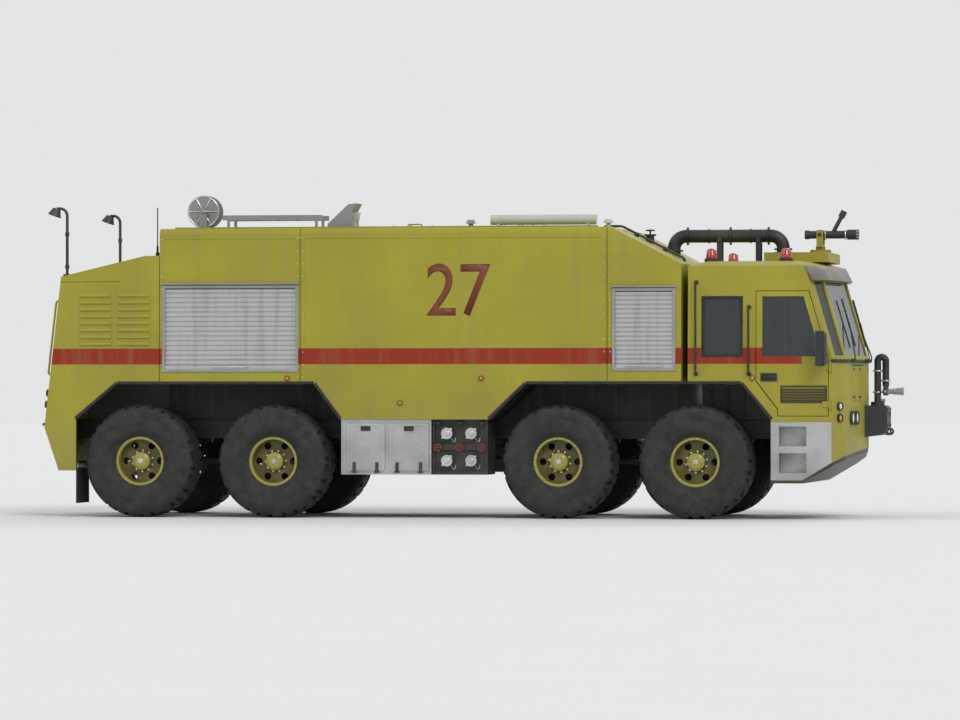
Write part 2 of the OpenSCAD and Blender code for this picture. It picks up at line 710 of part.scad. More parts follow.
// Roof turret: turning pedestal with a yoke, and the barrel between its cheeks
module roof_turret_base() color(yellow) translate([roof_turret_x, 0, roof_deck]) {
  translate([0, 0, clear]) cylinder(r = 130, h = 40);
  translate([0, 0, clear]) cylinder(r = 60, h = 80 + eps - clear);
  translate([-40, -105, 80]) cube([80, 210, 30]);
  both_sides() translate([-40, 75, 80]) cube([80, 30, 205]);
}
module roof_turret_barrel() color(black) translate([roof_turret_x, 0, roof_pivot_z]) {
  tube_y(60, clear - 75, 75 - clear);
  tube_x(48, -170, roof_barrel - 110);
  tube_x(62, roof_barrel - 140, roof_barrel);
  tube_x(55, -192, -140);
  // raised dry-agent nozzle on the barrel
  translate([150, 0, 20]) rotate([0, 28, 0]) cylinder(r = 26, h = 260);
  translate([150, 0, 20]) rotate([0, 28, 0]) translate([0, 0, 215]) cylinder(r = 40, h = 90);
}

// Bumper turret: turning foot with a looped waterway, and the barrel at its lower end
module bumper_turret_base() color(black) translate([bumper_turret_x, 0, bumper_top]) {
  loop_h = bumper_loop_z - bumper_top - 50;
  translate([0, 0, clear]) cylinder(r = 85, h = 40);
  translate([0, 0, clear]) cylinder(r = 42, h = loop_h - clear);
  translate([50, 0, loop_h]) mirror([1, 0, 0]) bend(50, 42);
  translate([50, 0, loop_h]) bend(50, 42);
  translate([100, 0, 235]) cylinder(r = 42, h = loop_h - 235);
  translate([80, -90, 235]) cube([40, 180, 26]);
  both_sides() translate([75, 62, 120]) cube([50, 28, 130]);
}
module bumper_turret_barrel() color(black) translate([bumper_turret_x + 100, 0, bumper_pivot_z]) {
  tube_y(40, clear - 62, 62 - clear);
  tube_x(32, 0, bumper_barrel - 60);
  tube_x(42, bumper_barrel - 90, bumper_barrel);
}

// Rear light masts with goosenecks and lamp heads, and the whip aerial
mast_in = 150;
module light_mast() {
  x = house_rear + house_lean + 40;
  foot = house_top_rear - 100;
  neck = 90;
  translate([x, hw - mast_in, 0]) {
    difference() {
      translate([0, 0, foot]) cylinder(r = mast_r, h = mast_z - neck - 60 - foot);
      translate([-x, -(hw - mast_in), 0]) from_side(house_profile(0), -hw, hw);
    }
    translate([-neck, 0, mast_z - neck - 60]) bend(neck, mast_r);
    translate([-neck, 0, mast_z - 60]) tube_x(mast_r, -40, 0);
    translate([-neck - 40, 0, mast_z - 60]) rotate([0, 200, 0]) cylinder(r1 = 45, r2 = 85, h = 90);
  }
}
module light_masts() color(black) {
  both_sides() light_mast();
  translate([house_front - 90, hw - 300, house_top_front]) cylinder(r = 25, h = 60);
  translate([house_front - 90, hw - 300, house_top_front]) cylinder(r = 8, h = 620);
}

// Roof gear: hose reel, ladder, folded scene lamp, pole tube and vents
module roof_gear() color(silver) translate([0, -hw + 520, roof_z]) {
  reel_x = house_front + 460;
  ladder_x = reel_x + reel_r + 60;
  translate([reel_x, 0, reel_r + 20]) {
    tube_y(reel_r, -110, -90);
    tube_y(reel_r, 90, 110);
    tube_y(reel_r * 0.55, -110, 110);
  }
  for (y = [-1, 1]) translate([reel_x - 50, y * 130 - 12, 0]) cube([100, 24, reel_r + 60]);
  translate([reel_x, 0, reel_r + 20]) tube_y(25, -142, 142);
  for (y = [-1, 1]) translate([ladder_x, y * 200, 0]) {
    translate([0, -15, 110]) cube([ladder_len, 30, 60]);
    for (x = [60, ladder_len - 90]) translate([x, -15, 0]) cube([30, 30, 111]);
  }
  for (i = [0:4]) translate([ladder_x + 120 + i * (ladder_len - 240) / 4, 0, 140]) tube_y(14, -190, 190);
  // folded scene lamp with its hood
  translate([ladder_x + ladder_len + 60, 0, 0]) from_side(
    [[0, 0], [0, 60], [260, 300], [360, 310], [300, 200], [330, 0]], -180, 180);
  // pole tube on two saddles
  translate([pump_rear - 1500, -60, 0]) {
    for (x = [80, 1180]) translate([x, -40, 0]) cube([40, 80, 60]);
    translate([0, 0, 100]) tube_x(62, 0, 1300);
  }
  // vents
  for (x = [pump_rear - 1760, pump_rear - 60]) translate([x, 0, 0]) {
    cylinder(r = 30, h = 70);
    translate([0, 0, 60]) cylinder(r1 = 65, r2 = 40, h = 45);
  }
}

module in_frame() translate([front_axle_x, 0, 0]) children();
function shown(name) = node == "all" || node == name;

in_sides = ["left", "right"];
if (shown("frame_rails")) in_frame() frame_rails();
if (shown("axles")) in_frame() axles();
if (shown("engine_block")) in_frame() engine_block();
for (a = [1:2], s = in_sides) if (shown(str("knuckle_", a, "_", s))) in_frame() knuckle(a, s);
for (a = [1:4], s = in_sides) if (shown(str("tyre_", a, "_", s))) in_frame() tyre(a, s);
for (a = [1:4], s = in_sides) if (shown(str("rim_", a, "_", s))) in_frame() rim(a, s);
if (shown("engine_house")) in_frame() engine_house();
if (shown("engine_grille")) in_frame() engine_grille();
if (shown("locker_body")) in_frame() locker_body();
if (shown("tank_body")) in_frame() tank_body();
if (shown("pump_body")) in_frame() pump_body();
if (shown("shutters")) in_frame() shutters();
if (shown("side_boxes")) in_frame() side_boxes();
if (shown("pump_panels")) in_frame() pump_panels();
if (shown("mud_flaps")) in_frame() mud_flaps();
if (shown("cab_shell")) in_frame() cab_shell();
if (shown("cab_glass")) in_frame() cab_glass();
if (shown("seats")) in_frame() seats();
if (shown("dashboard")) in_frame() dashboard();
for (s = in_sides) if (shown(str("door_", s))) in_frame() door(s);
for (s = in_sides) if (shown(str("door_glass_", s))) in_frame() door_glass(s);
for (s = in_sides) if (shown(str("mirror_", s))) in_frame() door_mirror(s);
if (shown("nose_bracket")) in_frame() nose_bracket();
if (shown("skid_plate")) in_frame() skid_plate();
if (shown("roof_pipe")) in_frame() roof_pipe();
if (shown("roof_turret_base")) in_frame() roof_turret_base();
if (shown("roof_turret_barrel")) in_frame() roof_turret_barrel();
if (shown("bumper_turret_base")) in_frame() bumper_turret_base();
if (shown("bumper_turret_barrel")) in_frame() bumper_turret_barrel();
if (shown("light_masts")) in_frame() light_masts();
if (shown("roof_gear")) in_frame() roof_gear();
if (shown("tail_gear")) in_frame() tail_gear();
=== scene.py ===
import bpy
import bmesh
import math
from mathutils import Vector, Matrix


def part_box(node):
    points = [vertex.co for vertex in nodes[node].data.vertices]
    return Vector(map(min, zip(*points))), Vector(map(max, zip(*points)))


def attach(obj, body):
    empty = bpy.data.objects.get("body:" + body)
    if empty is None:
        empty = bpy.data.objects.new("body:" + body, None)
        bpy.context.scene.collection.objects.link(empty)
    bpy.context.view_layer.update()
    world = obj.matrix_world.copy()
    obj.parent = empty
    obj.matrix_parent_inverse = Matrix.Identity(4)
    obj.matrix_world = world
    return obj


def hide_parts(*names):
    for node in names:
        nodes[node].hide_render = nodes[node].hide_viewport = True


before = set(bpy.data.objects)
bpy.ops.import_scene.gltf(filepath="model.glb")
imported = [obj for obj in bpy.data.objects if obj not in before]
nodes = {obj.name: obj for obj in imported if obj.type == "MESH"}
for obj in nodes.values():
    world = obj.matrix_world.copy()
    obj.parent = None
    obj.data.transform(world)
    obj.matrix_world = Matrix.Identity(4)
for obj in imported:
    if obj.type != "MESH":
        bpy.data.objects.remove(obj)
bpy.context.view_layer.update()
print("frame loaded")

# helpers for selecting and shaping


def clearSelection():
    if bpy.context.object and bpy.context.object.mode != "OBJECT":
        bpy.ops.object.mode_set(mode="OBJECT")
    bpy.ops.object.select_all(action="DESELECT")


def selectOnly(obj):
    clearSelection()
    obj.select_set(True)
    bpy.context.view_layer.objects.active = obj


def startEdit(obj):
    selectOnly(obj)
    bpy.ops.object.mode_set(mode="EDIT")


def endEdit():
    bpy.ops.object.mode_set(mode="OBJECT")


def pickAll():
    bpy.ops.mesh.select_all(action="SELECT")


def pickParts(obj, kind, test):
    # leaves only those faces, edges or corners selected that pass the test
    bpy.ops.mesh.select_mode(type=kind)
    bpy.ops.mesh.select_all(action="DESELECT")
    mesh = bmesh.from_edit_mesh(obj.data)
    for part in {"FACE": mesh.faces, "EDGE": mesh.edges, "VERT": mesh.verts}[kind]:
        if test(part):
            part.select = True
    if kind == "VERT":
        mesh.select_flush(True)
    bmesh.update_edit_mesh(obj.data)


def pickFaces(obj, test):
    # the test gets a face's centre and its normal
    pickParts(obj, "FACE", lambda face: test(face.calc_center_median(), face.normal))


def extrudeFaces(move):
    bpy.ops.mesh.extrude_region_move(TRANSFORM_OT_translate={"value": move})


def faceOutwards():
    pickAll()
    bpy.ops.mesh.normals_make_consistent(inside=False)


def mergeDoubles(distance):
    pickAll()
    bpy.ops.mesh.remove_doubles(threshold=distance)


def bevelPicked(offset, segments=2):
    bpy.ops.mesh.bevel(offset=offset, segments=segments, affect="EDGES")


def isSharp(edge):
    return edge.is_manifold and edge.calc_face_angle() > 1.0


def roundEdges(obj, test, offset):
    startEdit(obj)
    pickParts(obj, "EDGE", test)
    bevelPicked(offset)
    endEdit()


def stepFaces(obj, direction, steps, sloped=False):
    # insets the faces that look along the direction, and moves what is inside, step by step
    direction = Vector(direction)
    startEdit(obj)
    pickFaces(obj, lambda centre, normal: normal.dot(direction) > 0.95)
    for border, rise in steps:
        bpy.ops.mesh.inset(thickness=border)
        move = tuple(direction * rise)
        if sloped:
            bpy.ops.transform.translate(value=move)
        else:
            extrudeFaces(move)
    endEdit()


def reshape(obj, change):
    # the change function moves each corner in turn
    startEdit(obj)
    mesh = bmesh.from_edit_mesh(obj.data)
    for vert in mesh.verts:
        change(vert.co)
    bmesh.update_edit_mesh(obj.data)
    endEdit()


def turnMesh(obj, degrees, axis, centre):
    startEdit(obj)
    pickAll()
    bpy.ops.transform.rotate(value=math.radians(degrees), orient_axis=axis, center_override=centre)
    endEdit()


def spinCopies(obj, count, centre, axis):
    # repeats the whole mesh round an axis, a full turn
    startEdit(obj)
    pickAll()
    bpy.ops.mesh.spin(steps=count, dupli=True, angle=2 * math.pi, center=centre, axis=axis)
    endEdit()


def applyPlace(obj):
    selectOnly(obj)
    bpy.ops.object.transform_apply(location=True, rotation=True, scale=True)


def applyModifier(obj, name):
    selectOnly(obj)
    bpy.ops.object.modifier_apply(modifier=name)


# helpers that start a piece


def middleOf(low, high):
    return [(a + b) / 2 for a, b in zip(low, high)]


def turnTo(direction):
    return Vector(direction).to_track_quat("Z", "Y").to_euler()


def ray(degrees, level=False):
    # a unit arrow in the upright plane along the truck, or in the level plane
    turn = math.radians(degrees)
    if level:
        return Vector((math.cos(turn), math.sin(turn), 0))
    return Vector((math.cos(turn), 0, math.sin(turn)))


def ringOf(place, radius, count, first=0.0):
    # places on a level circle
    return [Vector(place) + ray(first + 360 * i / count, True) * radius for i in range(count)]


def addBox(low, high, bevel=0.0, steps=1):
    clearSelection()
    bpy.ops.mesh.primitive_cube_add(size=1, location=middleOf(low, high))
    obj = bpy.context.object
    obj.scale = [b - a for a, b in zip(low, high)]
    applyPlace(obj)
    if bevel:
        startEdit(obj)
        pickAll()
        bevelPicked(bevel, steps)
        endEdit()
    return obj


def addUprightPlane(x0, x1, y, z0, z1):
    # a rectangle that faces the truck's right side
    clearSelection()
    bpy.ops.mesh.primitive_plane_add(
        size=1, location=((x0 + x1) / 2, y, (z0 + z1) / 2), rotation=(math.pi / 2, 0, 0))
    obj = bpy.context.object
    obj.scale = (x1 - x0, z1 - z0, 1)
    applyPlace(obj)
    return obj


def addRod(start, end, radius, sides=16, bevel=0.0, topRadius=None):
    # a round bar between two points, its ends beveled
    start, end = Vector(start), Vector(end)
    clearSelection()
    bpy.ops.mesh.primitive_cone_add(
        vertices=sides, radius1=radius, radius2=radius if topRadius is None else topRadius,
        depth=(end - start).length, location=(start + end) / 2, rotation=turnTo(end - start))
    obj = bpy.context.object
    applyPlace(obj)
    if bevel:
        along = (end - start).normalized()
        startEdit(obj)
        pickFaces(obj, lambda centre, normal: abs(normal.dot(along)) > 0.95)
        bpy.ops.mesh.region_to_loop()
        bevelPicked(bevel)
        endEdit()
    return obj


def addRing(place, axis, major, minor, around=32, across=8):
    clearSelection()
    bpy.ops.mesh.primitive_torus_add(
        location=place, rotation=turnTo(axis), major_radius=major, minor_radius=minor,
        major_segments=around, minor_segments=across)
    obj = bpy.context.object
    applyPlace(obj)
    return obj


def rounded(points, radius, steps=4):
    # replaces each inner corner of a path by a short arc
    points = [Vector(p) for p in points]
    path = [points[0]]
    for before, corner, after in zip(points, points[1:], points[2:]):
        a = (before - corner).normalized() * radius
        b = (after - corner).normalized() * radius
        for i in range(steps + 1):
            t = i / steps
            path.append(corner + a * (1 - t) ** 2 + b * t ** 2)
    path.append(points[-1])
    return path


def addPipe(corners, bend, radius):
    # a pipe through the corners, made from a bevelled curve
    path = rounded(corners, bend)
    clearSelection()
    curve = bpy.data.curves.new("pipe", "CURVE")
    curve.dimensions = "3D"
    curve.bevel_depth = radius
    curve.bevel_resolution = 1
    curve.use_fill_caps = True
    line = curve.splines.new("POLY")
    line.points.add(len(path) - 1)
    for point, place in zip(line.points, path):
        point.co = (*place, 1)
    obj = bpy.data.objects.new("pipe", curve)
    bpy.context.collection.objects.link(obj)
    selectOnly(obj)
    bpy.ops.object.convert(target="MESH")
    return bpy.context.object


def joinAll(objs, name):
    clearSelection()
    for obj in objs:
        obj.select_set(True)
    bpy.context.view_layer.objects.active = objs[0]
    if len(objs) > 1:
        bpy.ops.object.join()
    obj = bpy.context.object
    obj.name = name
    obj.data.name = name
    return obj


def copyOf(obj, place=(0, 0, 0), mirrorY=False):
    clearSelection()
    other = obj.copy()
    other.data = obj.data.copy()
    bpy.context.collection.objects.link(other)
    other.location = place
    if mirrorY:
        other.scale = (1, -1, 1)
    applyPlace(other)
    if mirrorY:
        startEdit(other)
        faceOutwards()
        endEdit()
    return other


def copyRow(obj, step, count):
    # the piece and its copies, each one step further
    return [copyOf(obj, Vector(step) * i) for i in range(1, count)] + [obj]


def onSide(piece, side):
    # the right side's piece, or its mirror image for the left
    if side == "right":
        return piece
    other = copyOf(piece, mirrorY=True)
    bpy.data.objects.remove(piece)
    return other


def finishPiece(parts, name, material, body="chassis", smooth=None, stands=(), paired=False):
    # joins the parts, repeats them on the left side if paired, and hands the piece over
    piece = joinAll(parts if isinstance(parts, list) else [parts], name)
    if paired:
        piece = joinAll([piece, copyOf(piece, mirrorY=True)], name)
    piece.data.materials.clear()
    piece.data.materials.append(material)
    if smooth is not None:
        selectOnly(piece)
        bpy.ops.object.shade_smooth_by_angle(angle=math.radians(smooth))
    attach(piece, body)
    if stands:
        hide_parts(*stands)
    return piece


# helpers for materials


def newMaterial(name):
    material = bpy.data.materials.new(name)
    material.use_nodes = True
    tree = material.node_tree
    shader = tree.nodes["Principled BSDF"]
    coords = tree.nodes.new("ShaderNodeTexCoord").outputs["Object"]
    return material, tree, shader, coords


def noise(tree, coords, scale, detail=4.0, stretch=None):
    if stretch:
        mapping = tree.nodes.new("ShaderNodeMapping")
        mapping.inputs["Scale"].default_value = stretch
        tree.links.new(coords, mapping.inputs["Vector"])
        coords = mapping.outputs["Vector"]
    node = tree.nodes.new("ShaderNodeTexNoise")
    node.inputs["Scale"].default_value = scale
    node.inputs["Detail"].default_value = detail
    tree.links.new(coords, node.inputs["Vector"])
    return node.outputs["Fac"]


def ramp(tree, value, low, high, a=0.0, b=1.0):
    node = tree.nodes.new("ShaderNodeMapRange")
    for key, number in zip(("From Min", "From Max", "To Min", "To Max"), (low, high, a, b)):
        node.inputs[key].default_value = number
    tree.links.new(value, node.inputs["Value"])
    return node.outputs["Result"]


def calc(tree, operation, a, b=None):
    node = tree.nodes.new("ShaderNodeMath")
    node.operation = operation
    for socket, value in zip(node.inputs, (a, b)):
        if isinstance(value, (int, float)):
            socket.default_value = value
        elif value is not None:
            tree.links.new(value, socket)
    return node.outputs[0]


def times(tree, first, *others):
    for other in others:
        first = calc(tree, "MULTIPLY", first, other)
    return first


def mixColor(tree, factor, a, b):
    node = tree.nodes.new("ShaderNodeMix")
    node.data_type = "RGBA"
    tree.links.new(factor, node.inputs[0])
    for socket, value in ((node.inputs[6], a), (node.inputs[7], b)):
        if isinstance(value, (tuple, list)):
            socket.default_value = (*value, 1)
        else:
            tree.links.new(value, socket)
    return node.outputs[2]


def setColor(tree, shader, color):
    tree.links.new(color, shader.inputs["Base Color"])


def setRoughness(tree, shader, value, smoothest, roughest):
    # the roughness follows a noise value between two limits
    tree.links.new(ramp(tree, value, 0.3, 0.7, smoothest, roughest), shader.inputs["Roughness"])


def setEven(shader, **numbers):
    # values that are the same all over; coatRoughness sets the socket Coat Roughness
    sockets = {"metal": "Metallic", "coat": "Coat Weight", "coatRoughness": "Coat Roughness",
               "specular": "Specular IOR Level", "roughness": "Roughness", "sheen": "Sheen Weight",
               "alpha": "Alpha", "ior": "IOR", "glow": "Emission Strength"}
    for key, number in numbers.items():
        shader.inputs[sockets[key]].default_value = number


def addBump(tree, shader, height, strength, distance=0.002):
    node = tree.nodes.new("ShaderNodeBump")
    node.inputs["Strength"].default_value = strength
    node.inputs["Distance"].default_value = distance
    tree.links.new(height, node.inputs["Height"])
    tree.links.new(node.outputs["Normal"], shader.inputs["Normal"])


def split(tree, coords):
    node = tree.nodes.new("ShaderNodeSeparateXYZ")
    tree.links.new(coords, node.inputs[0])
    return node.outputs


dustLook = {"color": (0.20, 0.17, 0.13), "low": 0.2, "grain": 2.5}


def dustedColor(tree, coords, color, reach=1.5, amount=0.5):
    # road dust that thins out upwards, broken by noise
    height = split(tree, coords)[2]
    low = ramp(tree, height, dustLook["low"], reach, amount, 0.0)
    patch = ramp(tree, noise(tree, coords, dustLook["grain"], 6), 0.35, 0.7)
    return mixColor(tree, calc(tree, "MULTIPLY", low, patch), color, dustLook["color"])


def streaked(tree, coords, color, streakColor, scale, stretch, most, low, high):
    # streaks of dirt that run down a panel
    streak = ramp(tree, noise(tree, coords, scale, 5, (1, 1, stretch)), low, high, 0, most)
    return mixColor(tree, streak, color, streakColor)


# the truck's finishes


def worn(name, color, dark, rough=0.5, metal=0.0, coat=0.0, grain=40.0, bump=0.15, dust=0.35):
    # painted or cast surface: tone patches, fine grain, road dust low down
    material, tree, shader, coords = newMaterial(name)
    patch = ramp(tree, noise(tree, coords, 1.8, 5), 0.4, 0.65)
    tone = mixColor(tree, patch, color, dark)
    setColor(tree, shader, dustedColor(tree, coords, tone, amount=dust))
    fine = noise(tree, coords, grain, 3)
    setRoughness(tree, shader, fine, rough - 0.08, rough + 0.1)
    setEven(shader, metal=metal, coat=coat, coatRoughness=0.12)
    addBump(tree, shader, fine, bump)
    return material


paintLook = {
    # lime is darker than the paint's own lime-yellow; the difference is painted shade of the sides
    "lime": (0.345, 0.312, 0.028), "limeDark": (0.285, 0.257, 0.030), "streak": (0.24, 0.21, 0.09),
    "band": (0.27, 0.022, 0.005), "bandLow": 1.87, "bandHigh": 2.065, "bandFront": 4.18, "bandOut": 1.47,
    # the two near-black colours on the next line are painted shade in the wheel arches and under the body
    "archShadeDark": (0.016, 0.015, 0.014), "archShadePale": (0.045, 0.040, 0.034), "archTop": 1.634,
    "archRear": -4.775, "archFront": 3.806, "archOut": 1.4985, "dustReach": 1.6, "dust": 0.55,
    "roughness": (0.50, 0.60), "specular": 0.3, "coat": 0.06, "coatRoughness": 0.25,
}


def bandedColor(tree, coords, color):
    # the red band on the sides; the wheel arches and the underside are painted near black with noise, as
    # painted shade
    look = paintLook
    x, y, z = split(tree, coords)
    side = calc(tree, "ABSOLUTE", y)
    above = calc(tree, "GREATER_THAN", z, look["bandLow"])
    below = calc(tree, "LESS_THAN", z, look["bandHigh"])
    behind = calc(tree, "LESS_THAN", x, look["bandFront"])
    outside = calc(tree, "GREATER_THAN", side, look["bandOut"])
    color = mixColor(tree, times(tree, above, below, behind, outside), color, look["band"])
    # painted shade: near black inside the wheel arches and under the body, broken by noise
    ahead = calc(tree, "GREATER_THAN", x, look["archRear"])
    beforeFront = calc(tree, "LESS_THAN", x, look["archFront"])
    tucked = calc(tree, "LESS_THAN", side, look["archOut"])
    under = calc(tree, "LESS_THAN", z, look["archTop"])
    archShade = mixColor(tree, noise(tree, coords, 6, 6), look["archShadeDark"], look["archShadePale"])
    return mixColor(tree, times(tree, ahead, beforeFront, tucked, under), color, archShade)


def limePaint(name, banded):
    look = paintLook
    material, tree, shader, coords = newMaterial(name)
    patch = ramp(tree, noise(tree, coords, 1.1, 5), 0.35, 0.7)
    color = mixColor(tree, patch, look["lime"], look["limeDark"])
    if banded:
        color = bandedColor(tree, coords, color)
    color = streaked(tree, coords, color, look["streak"], 9, 0.06, 0.30, 0.52, 0.78)
    setColor(tree, shader, dustedColor(tree, coords, color, look["dustReach"], look["dust"]))
    setRoughness(tree, shader, noise(tree, coords, 4, 4), *look["roughness"])
    setEven(shader, specular=look["specular"], coat=look["coat"], coatRoughness=look["coatRoughness"])
    addBump(tree, shader, noise(tree, coords, 160, 2), 0.06, 0.001)
    return material


plateLook = {
    "pitch": 0.034, "slim": 9, "sheet": (0.50, 0.51, 0.52), "sheetDark": (0.36, 0.36, 0.36),
    "lozenge": (0.66, 0.67, 0.68), "metal": 0.7, "dustReach": 1.3, "dust": 0.6,
}


def treadPlate(name, flat=False):
    # raised lozenges on sheet, in two directions by turns
    look = plateLook
    material, tree, shader, coords = newMaterial(name)
    x, y, z = split(tree, coords)
    other = y if flat else z
    u = calc(tree, "DIVIDE", calc(tree, "ADD", x, other), look["pitch"])
    v = calc(tree, "DIVIDE", calc(tree, "SUBTRACT", x, other), look["pitch"])
    cellU = calc(tree, "SUBTRACT", calc(tree, "FRACT", u), 0.5)
    cellV = calc(tree, "SUBTRACT", calc(tree, "FRACT", v), 0.5)
    cells = calc(tree, "ADD", calc(tree, "FLOOR", u), calc(tree, "FLOOR", v))
    flip = calc(tree, "GREATER_THAN", calc(tree, "FRACT", times(tree, cells, 0.5)), 0.25)
    squareU = times(tree, cellU, cellU)
    squareV = times(tree, cellV, cellV)
    alongU = calc(tree, "ADD", squareU, times(tree, squareV, look["slim"]))
    alongV = calc(tree, "ADD", squareV, times(tree, squareU, look["slim"]))
    stay = calc(tree, "SUBTRACT", 1, flip)
    shape = calc(tree, "ADD", times(tree, alongU, flip), times(tree, alongV, stay))
    raised = ramp(tree, shape, 0.14, 0.20, 1.0, 0.0)
    patch = ramp(tree, noise(tree, coords, 3, 5), 0.35, 0.7)
    color = mixColor(tree, patch, look["sheet"], look["sheetDark"])
    color = mixColor(tree, raised, color, look["lozenge"])
    setColor(tree, shader, dustedColor(tree, coords, color, look["dustReach"], look["dust"]))
    tree.links.new(ramp(tree, patch, 0, 1, 0.32, 0.5), shader.inputs["Roughness"])
    setEven(shader, metal=look["metal"])
    addBump(tree, shader, raised, 0.7, 0.003)
    return material


def slatMetal(name):
    # aluminium slats, brushed along their length
    material, tree, shader, coords = newMaterial(name)
    brushed = noise(tree, coords, 60, 4, (0.1, 1, 8))
    color = mixColor(tree, brushed, (0.40, 0.41, 0.42), (0.56, 0.57, 0.58))
    setColor(tree, shader, streaked(tree, coords, color, (0.20, 0.19, 0.16), 10, 0.08, 0.45, 0.5, 0.8))
    setRoughness(tree, shader, brushed, 0.3, 0.48)
    setEven(shader, metal=0.75)
    addBump(tree, shader, brushed, 0.1, 0.001)
    return material


def darker(color, share):
    return tuple(share * channel for channel in color)


def clearGlass(name, tint, alpha):
    # tinted glass with a wiped smear
    material, tree, shader, coords = newMaterial(name)
    smear = ramp(tree, noise(tree, coords, 3, 5, (1, 1, 0.4)), 0.4, 0.75, 0.02, 0.14)
    tree.links.new(smear, shader.inputs["Roughness"])
    setColor(tree, shader, mixColor(tree, noise(tree, coords, 1.5, 3), tint, darker(tint, 0.8)))
    setEven(shader, alpha=alpha, ior=1.45, coat=0.6)
    material.surface_render_method = "BLENDED"
    return material


def lampLens(name, color, glow):
    # moulded lens with fine upright ribs
    material, tree, shader, coords = newMaterial(name)
    ribs = noise(tree, coords, 90, 2, (1, 1, 0.15))
    setColor(tree, shader, mixColor(tree, ribs, color, darker(color, 0.6)))
    setRoughness(tree, shader, ribs, 0.08, 0.25)
    shader.inputs["Emission Color"].default_value = (*color, 1)
    setEven(shader, glow=glow, coat=0.8)
    addBump(tree, shader, ribs, 0.3, 0.002)
    return material


def rubberLook(name, color, dust):
    material, tree, shader, coords = newMaterial(name)
    patch = ramp(tree, noise(tree, coords, 9, 8), 0.35, 0.8, 0, dust)
    setColor(tree, shader, mixColor(tree, patch, color, (0.13, 0.115, 0.095)))
    fine = noise(tree, coords, 120, 3)
    setRoughness(tree, shader, fine, 0.65, 0.85)
    addBump(tree, shader, fine, 0.25, 0.001)
    return material


def wovenLook(name, color, dark, threads=1600):
    # a plain weave; threads is its wave number in radians per metre
    material, tree, shader, coords = newMaterial(name)
    x, y, z = split(tree, coords)
    warp = calc(tree, "SINE", times(tree, calc(tree, "ADD", x, z), threads))
    weft = calc(tree, "SINE", times(tree, calc(tree, "ADD", y, z), threads))
    weave = ramp(tree, times(tree, warp, weft), -1, 1)
    setColor(tree, shader, mixColor(tree, weave, color, dark))
    setEven(shader, roughness=0.9, sheen=0.3)
    addBump(tree, shader, weave, 0.3, 0.001)
    return material


def finelyGrained(tree, shader, coords, scale, smoothest, roughest):
    # the satin surface that the rims and the roof gear share
    fine = noise(tree, coords, scale, 3)
    setRoughness(tree, shader, fine, smoothest, roughest)
    setEven(shader, coat=0.2)
    addBump(tree, shader, fine, 0.12, 0.001)


def rimPaint(name):
    # lime flange and hub, with painted shade in the dish between them, broken up by noise
    material, tree, shader, coords = newMaterial(name)
    depth = calc(tree, "ABSOLUTE", split(tree, coords)[1])
    # painted shade, darkest deep in the dish
    sunk = ramp(tree, depth, 1.30, 1.385, 0.85, 0.0)
    patch = ramp(tree, noise(tree, coords, 14, 5), 0.25, 0.75, 0.7, 1.0)
    color = mixColor(tree, noise(tree, coords, 5, 4), paintLook["lime"], paintLook["limeDark"])
    setColor(tree, shader, mixColor(tree, times(tree, sunk, patch), color, (0.070, 0.060, 0.026)))
    finelyGrained(tree, shader, coords, 110, 0.35, 0.6)
    return material


def roofEnamel(name):
    # grey reel, ladder and lamp, with a pale pole tube further forward
    material, tree, shader, coords = newMaterial(name)
    ahead = calc(tree, "GREATER_THAN", split(tree, coords)[0], 0.2)
    patch = noise(tree, coords, 4, 5)
    greyTone = mixColor(tree, patch, (0.27, 0.27, 0.28), (0.20, 0.20, 0.20))
    paleTone = mixColor(tree, patch, (0.50, 0.54, 0.47), (0.42, 0.45, 0.38))
    setColor(tree, shader, mixColor(tree, ahead, greyTone, paleTone))
    finelyGrained(tree, shader, coords, 120, 0.35, 0.55)
    return material


bandedLime = limePaint("bandedLimePaint", True)
plainLime = limePaint("plainLimePaint", False)
rimLime = rimPaint("rimLimePaint")
roofGrey = roofEnamel("roofEnamel")
slats = slatMetal("brushedSlats")
plate = treadPlate("treadPlateMetal")
roofPlate = treadPlate("roofTreadPlate", True)
steel = worn("satinBlackSteel", (0.022, 0.022, 0.024), (0.045, 0.042, 0.038), 0.45, 0.2, grain=70)
cast = worn("castIronGrey", (0.09, 0.09, 0.09), (0.14, 0.12, 0.10), 0.55, 0.5, grain=90, bump=0.3)
trim = worn("grainedBlackPlastic", (0.018, 0.018, 0.020), (0.03, 0.03, 0.03), 0.55, grain=240, bump=0.3)
tyreRubber = rubberLook("dustyTyreRubber", (0.011, 0.011, 0.012), 0.22)
flapRubber = rubberLook("flapRubber", (0.010, 0.010, 0.010), 0.2)
# the window glass is tinted, and its near-black colour and low see-through also paint the shade inside the
# cab
glass = clearGlass("greyWindowGlass", (0.030, 0.040, 0.046), 0.72)
fabric = wovenLook("seatWeave", (0.05, 0.055, 0.065), (0.02, 0.02, 0.025))
grey = worn("greyEnamel", (0.30, 0.31, 0.31), (0.24, 0.24, 0.23), 0.4, 0.1, 0.2, grain=110, dust=0.2)
pale = worn("paleEnamel", (0.55, 0.56, 0.46), (0.46, 0.47, 0.38), 0.45, 0.0, 0.2, grain=110, dust=0.1)
bright = worn("brightSteel", (0.62, 0.62, 0.63), (0.45, 0.45, 0.45), 0.28, 0.9, grain=140, dust=0.2)
ink = worn("numeralEnamel", (0.17, 0.034, 0.008), (0.14, 0.026, 0.006), 0.5, 0.0, 0.1, grain=130, dust=0.0)
visorGrey = worn("visorEnamel", (0.185, 0.155, 0.140), (0.13, 0.11, 0.10), 0.5, 0.0, 0.2, grain=110, dust=0.0)
redLens = lampLens("redLens", (0.45, 0.01, 0.01), 0.1)
amberLens = lampLens("amberLens", (0.70, 0.22, 0.01), 0.1)
whiteLens = lampLens("whiteLens", (0.75, 0.76, 0.78), 0.1)
print("materials ready")

